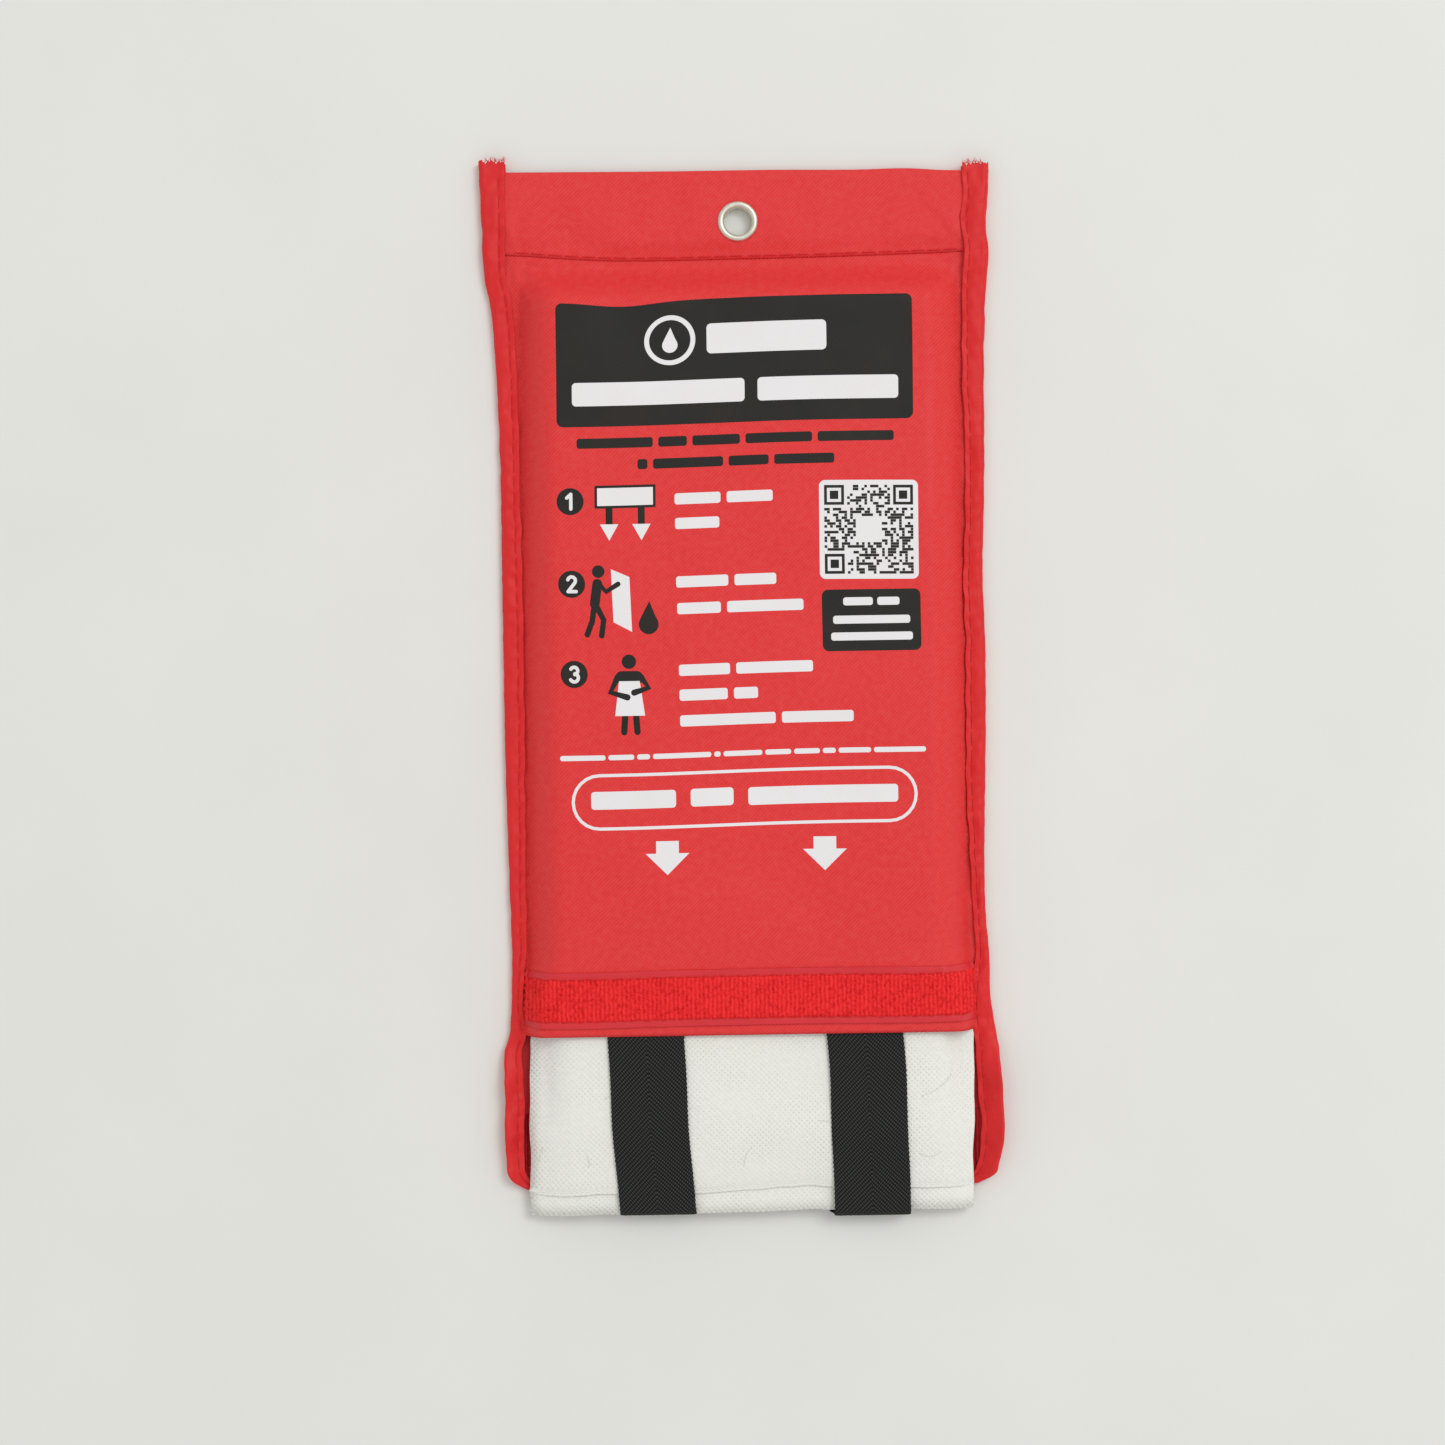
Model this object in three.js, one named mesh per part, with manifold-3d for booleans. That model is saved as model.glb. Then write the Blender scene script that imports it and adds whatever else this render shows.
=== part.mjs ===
// A fire blanket in its hanging pouch, lying on its back with the closing flap open.
// X is across the pouch, +Y runs towards the eyelet, +Z is up. Lengths are in millimetres.
// The origin is under the middle of the object, on the surface that it lies on.
import * as THREE from 'three';
import { mergeVertices } from 'three/addons/utils/BufferGeometryUtils.js';
import Module from 'manifold-3d';

const { MathUtils } = THREE;

// Lengths along the pouch
const overallLength = 369;
const bindingTail = 3.5; // how far the raw binding ends stand past the header
const headerDepth = 30;
const frontPanelLength = 271;
const flapLength = 56; // from the pouch's mouth to the flap's end
const bundleEndRoom = 23; // from the header seam to the blanket's inner end
const tabLengthInside = 60; // how far a pull tab runs on inside the mouth

// Widths across the pouch
const headerWidth = 178.6;
const bodyWidth = 168.4;
const flapWidth = 175;
const bindingWidth = 6.6;
const headerBindingWidth = 9.3;
const bundleWidth = 148.6;
const tailWidth = 155;

// Tapes, webbing and hardware
const tapeWidth = 19.5;
const tapeMargin = 2.25; // from the loop tape to the mouth
const hemDepth = 6.75;
const cornerLength = 12; // the flap's rounded lower corners
const cornerWidth = 9;
const webbingWidth = 26.2;
const tabCentres = { left: -36.4, right: 41 };
const tabLean = 0.055; // sideways shift of a pull tab for each millimetre past the fold line
const eyeletDrop = 17.6; // from the header's top edge to the eyelet's middle
const boreRadius = 4.8;
const flangeRadius = 7;
const threadWidth = 0.6;

// Thicknesses, and the gap between pieces that lie on one another
const cloth = 0.7;
const bindingTape = 0.5;
const closureTape = 1;
const webbing = 1;
const thread = 0.25;
const gap = 0.3;
const threadGap = 0.05;
const tailThickness = 8;

// Places along Y
const top = overallLength / 2;
const bottom = -overallLength / 2;
const headerTop = top - bindingTail;
const headerSeam = headerTop - headerDepth;
const mouth = headerSeam - frontPanelLength;
const flapEnd = mouth - flapLength;
const loopCentre = mouth + tapeMargin + tapeWidth / 2;
const hookCentre = flapEnd + hemDepth + tapeWidth / 2;
const foldLine = (loopCentre + hookCentre) / 2; // the hook tape lands on the loop tape
const bundleTop = headerSeam - bundleEndRoom;
const eyeletY = headerTop - eyeletDrop;

// Heights, from the surface up
const backZ = bindingTape + gap;
const seamZ = backZ + cloth + gap; // what lies on the back panel
const hookTop = seamZ + closureTape;
const tabBackZ = hookTop + threadGap + thread + gap;
const tailZ = tabBackZ + webbing + gap;
const tailTop = tailZ + tailThickness;
const tabFrontZ = tailTop + gap;
const frontZ = tabFrontZ + webbing + gap; // the front panel's underside over the blanket
const loopZ = frontZ + cloth + gap;
const facingZ = seamZ + cloth + gap; // what lies on the front panel's flat margins

// The front panel's slope beside the bindings and below the header
const slopeFoot = bodyWidth / 2 - bindingWidth - gap;
const slopeWidth = 13.3;
const rampFoot = headerSeam - 2;
const rampLength = 15;

const colours = {
  cloth: { color: 0xe03c40, roughness: 0.62, metalness: 0 },
  binding: { color: 0xdc3235, roughness: 0.55, metalness: 0 },
  loop: { color: 0xdd2427, roughness: 0.95, metalness: 0 },
  hook: { color: 0xb11d22, roughness: 0.7, metalness: 0 },
  glass: { color: 0xebece6, roughness: 0.8, metalness: 0 },
  webbing: { color: 0x202120, roughness: 0.85, metalness: 0 },
  thread: { color: 0xb4262a, roughness: 0.7, metalness: 0 },
  blackThread: { color: 0x141414, roughness: 0.7, metalness: 0 },
  nickel: { color: 0xc8c5bc, roughness: 0.25, metalness: 1 },
};

const group = new THREE.Group();

function add(name, geometry, colour) {
  const mesh = new THREE.Mesh(geometry, new THREE.MeshStandardMaterial(colours[colour]));
  mesh.name = name;
  group.add(mesh);
}

// Where the outlines and heights change

function between(value, from, to) {
  const share = MathUtils.clamp((value - from) / (to - from), 0, 1);
  return share * share * (3 - 2 * share);
}

function halfWidth(y) {
  const inHeader = between(y, 126, headerSeam - 1);
  const inFlap = between(y, mouth + 20, foldLine);
  return (bodyWidth + (headerWidth - bodyWidth) * inHeader + (flapWidth - bodyWidth) * inFlap) / 2;
}

function bindingWidthAt(y) {
  return MathUtils.lerp(bindingWidth, headerBindingWidth, between(y, 126, headerSeam - 1));
}

// The stack is one layer thicker in the header
function headerStep(y) {
  return (cloth + gap) * between(y, headerSeam - 8, headerSeam - 1);
}

// 0 at the foot of the slope beside the binding, 1 over the blanket
function swell(x) {
  const share = MathUtils.clamp((slopeFoot - Math.abs(x)) / slopeWidth, 0, 1);
  return Math.sin((share * Math.PI) / 2);
}

function frontUnderside(x, y) {
  const ramp = MathUtils.clamp((rampFoot - y) / rampLength, 0, 1);
  return seamZ + (frontZ - seamZ) * swell(x) * ramp;
}

// Even steps from one value to another, both included
function steps(from, to, count) {
  return Array.from({ length: count + 1 }, (_, i) => MathUtils.lerp(from, to, i / count));
}

// A sheet: a thin box whose grid of points is moved by place(across, along, isUpper)
function sheet(acrossValues, alongValues, place) {
  const columns = acrossValues.length - 1;
  const rows = alongValues.length - 1;
  const geometry = new THREE.BoxGeometry(1, 1, 1, columns, rows, 1);
  const position = geometry.attributes.position;
  for (let i = 0; i < position.count; i += 1) {
    const column = Math.round((position.getX(i) + 0.5) * columns);
    const row = Math.round((position.getY(i) + 0.5) * rows);
    const point = place(acrossValues[column], alongValues[row], position.getZ(i) > 0);
    position.setXYZ(i, ...point);
  }
  return geometry;
}

// A sheet that lies flat, between the half widths given by edge(y)
function flatSheet(alongValues, edge, z, thickness) {
  const place = (across, y, isUpper) => [across * edge(y), y, z + (isUpper ? thickness : 0)];
  return sheet([-1, 1], alongValues, place);
}

// Booleans

const wasm = await Module();
wasm.setup();

function toSolid(geometry) {
  const bare = geometry.clone();
  bare.deleteAttribute('normal');
  bare.deleteAttribute('uv');
  const merged = mergeVertices(bare, 1e-4);
  const vertProperties = new Float32Array(merged.attributes.position.array);
  const triVerts = new Uint32Array(merged.index.array);
  return new wasm.Manifold(new wasm.Mesh({ numProp: 3, vertProperties, triVerts }));
}

function toGeometry(solid) {
  const mesh = solid.getMesh();
  const geometry = new THREE.BufferGeometry();
  geometry.setAttribute('position', new THREE.BufferAttribute(mesh.vertProperties, 3));
  geometry.setIndex(new THREE.BufferAttribute(mesh.triVerts, 1));
  return geometry;
}

// Cuts the eyelet's hole
function punched(geometry) {
  const barrelRadius = boreRadius + bindingTape;
  const punch = new THREE.CylinderGeometry(barrelRadius + gap, barrelRadius + gap, 20, 32);
  punch.rotateX(Math.PI / 2);
  punch.translate(0, eyeletY, 0);
  return toGeometry(toSolid(geometry).subtract(toSolid(punch)));
}

// Rows that follow the outline where its width changes
const headerRows = steps(headerSeam - 1, 126, 4);
const mouthRows = steps(mouth + 20, foldLine + gap / 2, 4);
const clothInset = bindingTape + gap;
const clothEdge = (y) => halfWidth(y) - clothInset;

// The pouch

function backPanel() {
  const rows = [headerTop - cloth - gap, ...headerRows, ...mouthRows].reverse();
  return punched(flatSheet(rows, clothEdge, backZ, cloth));
}

// Folded over the top edge and stitched down over the front panel
function headerFacing() {
  const bend = 1;
  const middleZ = facingZ + cloth / 2;
  const crest = headerTop - cloth / 2 - bend;
  const path = [{ y: headerSeam, z: middleZ, turn: 0 }];
  for (const turn of steps(0, Math.PI / 2, 3)) {
    const y = crest + bend * Math.sin(turn);
    const z = middleZ - bend * (1 - Math.cos(turn));
    path.push({ y, z, turn });
  }
  path.push({ y: crest + bend, z: backZ + cloth / 2, turn: Math.PI / 2 });
  const place = (across, step, isUpper) => {
    const out = (isUpper ? cloth : -cloth) / 2;
    const y = step.y + out * Math.sin(step.turn);
    return [across * (headerWidth / 2 - clothInset), y, step.z + out * Math.cos(step.turn)];
  };
  return punched(sheet([-1, 1], path, place));
}

// Raised over the blanket, flat along the side seams and under the facing
function frontPanel() {
  const margin = 5;
  const slope = steps(slopeFoot, slopeFoot - slopeWidth, 5);
  const right = ['edge', ...slope];
  const columns = [...right.map((x) => [-1, x]), [1, 0], ...right.reverse().map((x) => [1, x])];
  const ramp = steps(rampFoot, rampFoot - rampLength, 3);
  const rows = [headerSeam + margin, headerSeam, ...ramp, 126, ...steps(mouth + 20, mouth, 3)];
  const place = ([side, x], y, isUpper) => {
    const across = side * (x === 'edge' ? clothEdge(y) : x);
    return [across, y, frontUnderside(across, y) + (isUpper ? cloth : 0)];
  };
  return sheet(columns, rows.reverse(), place);
}

// A tape folded round the edge of the cloth, which is outline(y) from the middle line.
// Seen in section it is a U on its side, as deep as the tape is wide.
function binding(side, rows, outline, upperLegZ) {
  const round = steps(-Math.PI / 2, Math.PI / 2, 4);
  const section = ['lower end', ...round, 'upper end'];
  const bendDepth = bindingTape * 2;
  const place = (at, y, isUpper) => {
    const height = upperLegZ(y) + bindingTape;
    const isOuter = side > 0 ? !isUpper : isUpper;
    const shell = isOuter ? 0 : bindingTape;
    if (typeof at === 'string') {
      const z = at === 'lower end' ? shell : height - shell;
      return [side * (outline(y) - bindingWidthAt(y)), y, z];
    }
    const x = outline(y) - bendDepth + (bendDepth - shell) * Math.cos(at);
    return [side * x, y, height / 2 + (height / 2 - shell) * Math.sin(at)];
  };
  return sheet(section, rows, place);
}

function pouchBinding(side) {
  const rows = [top, headerTop, headerSeam, ...headerRows.slice(1), ...mouthRows].reverse();
  return binding(side, rows, halfWidth, (y) => facingZ + headerStep(y));
}

// A flat tape or a thread that follows the front panel from side to side
function acrossFront(centreY, width, base, thickness, reach) {
  const slope = steps(reach, slopeFoot - slopeWidth, 5);
  const columns = [...slope.map((x) => -x), 0, ...slope.reverse()];
  const place = (x, y, isUpper) => {
    const z = frontUnderside(x, mouth) + base - frontZ + (isUpper ? thickness : 0);
    return [x, y, z];
  };
  return sheet(columns, [centreY - width / 2, centreY + width / 2], place);
}

// Rolled over at the front and clenched over the washer at the back
function eyelet() {
  const barrel = boreRadius + bindingTape;
  const flangeZ = facingZ + cloth + gap;
  const crown = 1.2;
  const clenchRadius = barrel + 0.9;
  const clench = 0.2;
  const lip = 0.55;
  const profile = new THREE.Path();
  profile.moveTo(boreRadius, 0);
  profile.lineTo(clenchRadius, 0);
  profile.lineTo(clenchRadius, clench);
  profile.lineTo(barrel, clench);
  profile.lineTo(barrel, flangeZ);
  profile.lineTo(flangeRadius, flangeZ);
  profile.quadraticCurveTo(flangeRadius, flangeZ + crown, flangeRadius - 2 * lip, flangeZ + crown);
  profile.lineTo(boreRadius + lip, flangeZ + crown);
  profile.quadraticCurveTo(boreRadius, flangeZ + crown, boreRadius, flangeZ + crown - lip);
  profile.lineTo(boreRadius, 0);
  const geometry = new THREE.LatheGeometry(profile.getPoints(4), 32);
  geometry.rotateX(Math.PI / 2);
  geometry.translate(0, eyeletY, 0);
  return geometry;
}

function eyeletWasher() {
  const inner = boreRadius + bindingTape + 0.1;
  const outer = flangeRadius + 0.2;
  const low = 0.25;
  const high = 0.55;
  const corners = [[inner, low], [outer, low], [outer, high], [inner, high], [inner, low]];
  const geometry = new THREE.LatheGeometry(corners.map((c) => new THREE.Vector2(...c)), 32);
  geometry.rotateX(Math.PI / 2);
  geometry.translate(0, eyeletY, 0);
  return geometry;
}

// A thread along a binding, a little in from the binding's inner edge
function bindingThread(side, rows, outline, z) {
  const inset = 1.6;
  const place = (across, y, isUpper) => {
    const middle = outline(y) - bindingWidthAt(y) + inset;
    return [side * middle + across * threadWidth / 2, y, z(y) + (isUpper ? thread : 0)];
  };
  return sheet([-1, 1], rows, place);
}

function threadRow(centreY, reach, z) {
  return flatSheet([centreY - threadWidth / 2, centreY + threadWidth / 2], () => reach, z, thread);
}

// The closing flap

const flapRoot = foldLine - gap / 2;
const cornerStart = flapEnd + cornerLength;
const flapRows = [...steps(flapEnd, cornerStart, 4), flapRoot];
const hemReach = flapWidth / 2 - cornerWidth - bindingWidth - gap;

function flapHalfWidth(y) {
  const share = MathUtils.clamp((cornerStart - y) / cornerLength, 0, 1);
  return flapWidth / 2 - cornerWidth * (1 - Math.sqrt(1 - share * share));
}

const hookReach = flapHalfWidth(hookCentre - tapeWidth / 2) - bindingWidth - gap;

function closingFlap() {
  return flatSheet(flapRows, (y) => flapHalfWidth(y) - clothInset, backZ, cloth);
}

function flapBinding(side) {
  return binding(side, flapRows, flapHalfWidth, () => seamZ);
}

// The flap's end, turned in over its upper face
function flapHem() {
  return flatSheet([flapEnd, flapEnd + hemDepth - gap], () => hemReach, seamZ, cloth);
}

function hookTape() {
  const rows = [hookCentre - tapeWidth / 2, hookCentre + tapeWidth / 2];
  return flatSheet(rows, () => hookReach, seamZ, closureTape);
}

// The folded blanket and its pull tabs

function blanketBundle() {
  const half = bundleWidth / 2;
  const columns = steps(half, slopeFoot - slopeWidth, 4);
  const across = [...columns.map((x) => -x), 0, ...columns.reverse()];
  const end = [[bundleTop, 0.4], [bundleTop - 4, 0.8], [bundleTop - 10, 1]];
  const rows = [...end, [foldLine + gap / 2, 1]].reverse();
  const place = (x, [y, share], isUpper) => {
    const room = tailTop - frontZ;
    const least = 0.9;
    const full = frontUnderside(x, mouth) - least + (room + least) * swell(x);
    return [x, y, isUpper ? tabBackZ + (full - tabBackZ) * share : tabBackZ];
  };
  return sheet(across, rows, place);
}

// Turns a section drawn in Y and Z, then extruded, to run along X
function alongX(geometry, length) {
  const turn = new THREE.Matrix4().makeBasis(
    new THREE.Vector3(0, 1, 0),
    new THREE.Vector3(0, 0, 1),
    new THREE.Vector3(1, 0, 0),
  );
  geometry.applyMatrix4(turn);
  geometry.translate(-length / 2, 0, 0);
  return geometry;
}

const tabBendRadius = (tabFrontZ - tabBackZ) / 2;
const tabBendY = bottom + tabBendRadius + webbing / 2;

function blanketTail() {
  const radius = tailThickness / 2;
  const section = new THREE.Shape();
  section.moveTo(flapRoot, tailZ);
  section.lineTo(flapRoot, tailTop);
  section.lineTo(tabBendY, tailTop);
  section.absarc(tabBendY, tailZ + radius, radius, Math.PI / 2, (Math.PI * 3) / 2, false);
  const options = { depth: tailWidth, bevelEnabled: false, curveSegments: 8 };
  return alongX(new THREE.ExtrudeGeometry(section, options), tailWidth);
}

// A strap that lies on the blanket, turns round its lower fold and runs back beneath it
function pullTab(centre) {
  const backEnd = foldLine - 4;
  const path = [{ y: mouth + tabLengthInside, z: tabFrontZ + webbing / 2, turn: 0 }];
  path.push({ y: foldLine, z: tabFrontZ + webbing / 2, turn: 0 });
  for (const turn of steps(0, Math.PI, 8)) {
    const y = tabBendY - tabBendRadius * Math.sin(turn);
    const z = (tabFrontZ + tabBackZ + webbing) / 2 + tabBendRadius * Math.cos(turn);
    path.push({ y, z, turn });
  }
  path.push({ y: backEnd, z: tabBackZ + webbing / 2, turn: Math.PI });
  const place = (across, step, isUpper) => {
    const out = (isUpper ? webbing : -webbing) / 2;
    const lean = tabLean * Math.max(0, foldLine - step.y);
    const x = centre + lean + (across * webbingWidth) / 2;
    return [x, step.y - out * Math.sin(step.turn), step.z + out * Math.cos(step.turn)];
  };
  return sheet([-1, 1], path.reverse(), place);
}

// The box of stitches that holds a pull tab to the blanket
function tabThread(centre) {
  const half = webbingWidth / 2 - 3;
  const low = mouth + tabLengthInside - 24;
  const high = low + 20;
  const box = new THREE.Shape();
  box.moveTo(centre - half, low);
  box.lineTo(centre + half, low);
  box.lineTo(centre + half, high);
  box.lineTo(centre - half, high);
  box.closePath();
  const inside = new THREE.Path();
  const inner = half - threadWidth;
  inside.moveTo(centre - inner, low + threadWidth);
  inside.lineTo(centre - inner, high - threadWidth);
  inside.lineTo(centre + inner, high - threadWidth);
  inside.lineTo(centre + inner, low + threadWidth);
  inside.closePath();
  box.holes.push(inside);
  const geometry = new THREE.ExtrudeGeometry(box, { depth: thread / 2, bevelEnabled: false });
  geometry.translate(0, 0, tabFrontZ + webbing + threadGap);
  return geometry;
}

// Threads down the pouch's bindings lie on the upper leg, which steps up in the header
function pouchThread(side) {
  const rows = [headerTop, headerSeam, ...headerRows.slice(1), ...mouthRows].reverse();
  const z = (y) => facingZ + headerStep(y) + bindingTape + threadGap;
  return bindingThread(side, rows, halfWidth, z);
}

function flapThread(side) {
  return bindingThread(side, flapRows, flapHalfWidth, () => seamZ + bindingTape + threadGap);
}

const tapeReach = slopeFoot - gap;
const tapeSeam = tapeWidth / 2 - 1.6;
const sides = { left: -1, right: 1 };

add('back_panel', backPanel(), 'cloth');
add('header_facing', headerFacing(), 'cloth');
add('front_panel', frontPanel(), 'cloth');
add('loop_tape', acrossFront(loopCentre, tapeWidth, loopZ, closureTape, tapeReach), 'loop');
add('eyelet', eyelet(), 'nickel');
add('eyelet_washer', eyeletWasher(), 'nickel');
add('closing_flap', closingFlap(), 'cloth');
add('flap_hem', flapHem(), 'cloth');
add('hook_tape', hookTape(), 'hook');
add('blanket_bundle', blanketBundle(), 'glass');
add('blanket_tail', blanketTail(), 'glass');

for (const [name, side] of Object.entries(sides)) {
  add(`binding_${name}`, pouchBinding(side), 'binding');
  add(`flap_binding_${name}`, flapBinding(side), 'binding');
  add(`binding_stitching_${name}`, pouchThread(side), 'thread');
  add(`flap_binding_stitching_${name}`, flapThread(side), 'thread');
  add(`pull_tab_${name}`, pullTab(tabCentres[name]), 'webbing');
  add(`pull_tab_stitching_${name}`, tabThread(tabCentres[name]), 'blackThread');
}

const headerThreadReach = headerWidth / 2 - headerBindingWidth - gap;
const headerThreadZ = facingZ + cloth + threadGap;
add('header_stitching', threadRow(headerSeam + 1.2, headerThreadReach, headerThreadZ), 'thread');

const loopThreadZ = loopZ + closureTape + threadGap;
const hookThreadZ = hookTop + threadGap;
for (const [name, offset] of [['upper', tapeSeam], ['lower', -tapeSeam]]) {
  const loopThread = acrossFront(loopCentre + offset, threadWidth, loopThreadZ, thread, tapeReach);
  add(`loop_stitching_${name}`, loopThread, 'thread');
  add(`hook_stitching_${name}`, threadRow(hookCentre + offset, hookReach, hookThreadZ), 'thread');
}

const hemThread = threadRow(flapEnd + hemDepth - 1.5, hemReach, seamZ + cloth + threadGap);
add('flap_hem_stitching', hemThread, 'thread');

export default group;
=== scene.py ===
import math

import bpy
import numpy as np
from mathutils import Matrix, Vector
from mathutils.geometry import delaunay_2d_cdt


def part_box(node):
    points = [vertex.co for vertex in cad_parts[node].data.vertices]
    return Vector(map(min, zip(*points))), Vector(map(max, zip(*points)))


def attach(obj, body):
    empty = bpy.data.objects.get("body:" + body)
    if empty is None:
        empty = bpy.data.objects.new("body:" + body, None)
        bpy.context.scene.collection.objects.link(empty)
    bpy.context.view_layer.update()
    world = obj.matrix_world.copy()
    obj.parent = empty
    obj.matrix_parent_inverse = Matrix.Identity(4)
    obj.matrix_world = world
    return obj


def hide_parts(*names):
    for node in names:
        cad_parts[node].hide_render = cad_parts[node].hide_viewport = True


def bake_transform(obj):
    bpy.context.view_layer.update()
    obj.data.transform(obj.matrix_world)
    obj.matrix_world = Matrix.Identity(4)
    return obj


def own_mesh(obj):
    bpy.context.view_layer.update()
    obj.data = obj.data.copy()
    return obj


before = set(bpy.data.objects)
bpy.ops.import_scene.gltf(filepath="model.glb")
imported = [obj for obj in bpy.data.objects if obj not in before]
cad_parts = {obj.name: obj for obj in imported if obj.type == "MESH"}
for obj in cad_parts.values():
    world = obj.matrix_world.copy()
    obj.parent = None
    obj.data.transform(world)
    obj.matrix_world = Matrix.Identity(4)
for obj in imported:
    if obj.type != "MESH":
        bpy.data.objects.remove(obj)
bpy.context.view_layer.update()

# A fire blanket in its hanging pouch, seen straight from above, with the closing flap open.
# Shapes are worked out in millimetres in the frame's axes, and become metres when a mesh is made.
MM = 0.001


# ---------------------------------------------------------------- sizes from the frame

def corners(node):
    """A CAD node's lowest and highest corners, in millimetres."""
    low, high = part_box(node)
    return low / MM, high / MM


front_low, front_high = corners("front_panel")
_, facing_high = corners("header_facing")
loop_low, loop_high = corners("loop_tape")
hook_low, hook_high = corners("hook_tape")
flap_low, flap_high = corners("closing_flap")
hem_low, hem_high = corners("flap_hem")
bundle_low, bundle_high = corners("blanket_bundle")
tail_low, tail_high = corners("blanket_tail")
tab_low, _ = corners("pull_tab_left")
flange_low, flange_high = corners("eyelet")

HEADER_TOP = facing_high.y
MOUTH = front_low.y - 1.2  # the cloth's rounded edge stands a little past the CAD's
FOLD_LINE = (flap_high.y + tail_high.y) / 2
FLAP_END = flap_low.y
BOTTOM = tab_low.y
BUNDLE_TOP = bundle_high.y
LOOP_CENTRE = (loop_low.y + loop_high.y) / 2
HOOK_CENTRE = (hook_low.y + hook_high.y) / 2
TAPE_WIDTH = loop_high.y - loop_low.y
EYELET_Y = (flange_low.y + flange_high.y) / 2
EYELET_TOP = flange_high.z
BORE_RADIUS = 4.8
FLANGE_RADIUS = (flange_high.y - flange_low.y) / 2
SEAM_TOP = front_low.z + 0.7  # the upper face of the front panel's flat margins
FRONT_TOP = front_high.z  # and over the blanket
FACING_TOP = facing_high.z
BACK_TOP = flap_high.z
HOOK_TOP = hook_high.z
EYELET_HOLE = BORE_RADIUS + 0.8  # in the cloths behind the flange
SLOPE_FOOT = 77.3  # the slope beside each binding, from the middle line
SLOPE_WIDTH = 13.3
RAMP_FOOT = 149  # the slope below the header
RAMP_LENGTH = 15
FRONT_LAP = 25  # how far below the top the front panel ends, under the facing
FACING_LENGTH = 30.5
CLOTH = 0.5
TAPE = 0.5
THREAD = 0.17
STITCH = 5.8  # the pitch of the seams' stitches
SEAM_INSET = 2.1  # the binding seam's distance from the tape's inner edge
SELVAGE = 2.45  # the smooth border of the loop tape


# ---------------------------------------------------------------- shape functions

def ease(value, start, end):
    """0 before start and 1 past end, smooth in between."""
    share = np.clip((value - start) / (end - start), 0, 1)
    return share * share * (3 - 2 * share)


def mound(value, centre, reach):
    """1 at centre, and down to nothing at about twice reach from it."""
    return np.exp(-(((value - centre) / reach) ** 2))


def through(points, at):
    """A smooth curve through (place, value) points."""
    places, values = np.array(sorted(points), float).T
    slopes = np.gradient(values, places)
    at = np.clip(at, places[0], places[-1])
    i = np.clip(np.searchsorted(places, at) - 1, 0, len(places) - 2)
    span = places[i + 1] - places[i]
    t = (at - places[i]) / span
    from_left = values[i] * (2 * t**3 - 3 * t**2 + 1) + slopes[i] * span * (t**3 - 2 * t**2 + t)
    from_right = values[i + 1] * (3 * t**2 - 2 * t**3) + slopes[i + 1] * span * (t**3 - t**2)
    return from_left + from_right


def ripple(x, y, length, seed, waves=8):
    """A smooth wander of about -1 to 1, whose bumps are about length apart."""
    rng = np.random.default_rng(seed)
    total = 0
    for _ in range(waves):
        turn, phase = rng.uniform(0, 2 * math.pi, 2)
        rate = 2 * math.pi / length * rng.uniform(0.6, 1.4)
        total = total + np.sin(rate * (x * math.cos(turn) + y * math.sin(turn)) + phase)
    return total / math.sqrt(waves)


# The pouch's outer edge on its left (-1) and right (1), from the middle line: (place along Y, distance)
OUTLINE = {
    -1: [
        (186.5, 91.0), (162, 90.1), (146, 89.5), (133, 87.2), (120, 86.3), (83, 85.0), (29, 84.9),
        (-26, 84.7), (-69, 84.0), (-97, 83.5), (-112, 84.0), (-120, 84.6), (-127, 86.4), (-141, 86.4),
        (-153, 86.7), (-166, 86.3), (-170.5, 85.7), (-173.4, 83.6), (-176, 79.4),
    ],
    1: [
        (184.5, 88.6), (172, 88.2), (160, 87.3), (152, 88.2), (139, 87.1), (123, 86.2), (65, 85.2),
        (40, 84.3), (9, 84.9), (-26, 84.3), (-61, 83.4), (-83, 83.6), (-97, 84.6), (-110, 84.7),
        (-121, 86.2), (-128, 87.2), (-141, 88.0), (-153, 88.5), (-161, 88.2), (-168, 86.7), (-173, 84.6),
        (-176, 79.4),
    ],
}
# How wide each binding's upper leg is: (place along Y, width)
BINDING_WIDTH = {
    -1: [
        (184.5, 9.4), (152, 7.8), (133, 7.7), (120, 7.4), (83, 7.0), (-26, 7.0), (-70, 5.7),
        (-99, 4.7), (-110, 4.2), (-120, 6.0), (-127, 6.4), (-176, 6.3),
    ],
    1: [(184.5, 9.2), (152, 9.0), (120, 7.9), (83, 7.0), (-26, 7.0), (-97, 5.2), (-118, 7.6), (-176, 7.9)],
}


def outline(side, y):
    """The outer edge, with a small wobble in the cut and the seam."""
    wobble = 0.08 * ripple(y * 0, y, 13, 40 + side) + 0.05 * ripple(y * 0, y, 5, 50 + side)
    return through(OUTLINE[side], y) + wobble * ease(y, -172, -160)


def binding_width(side, y):
    return through(BINDING_WIDTH[side], y)


def swell(x, y):
    """0 at the foot of the slope beside the binding, 1 over the blanket."""
    gape = ease(-y, 92, 112)  # towards the mouth the slope is narrower and further out
    foot = SLOPE_FOOT + 2.4 * gape
    share = np.clip((foot - np.abs(x)) / (SLOPE_WIDTH - 5.5 * gape), 0, 1)
    return np.sin(share * math.pi / 2)


def header_seam(x):
    """The header facing's lower edge."""
    return through([(-90, 153.2), (-76, 152.6), (-60, 151.2), (4, 150.5), (50, 151.1), (90, 152.2)], x)


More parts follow.
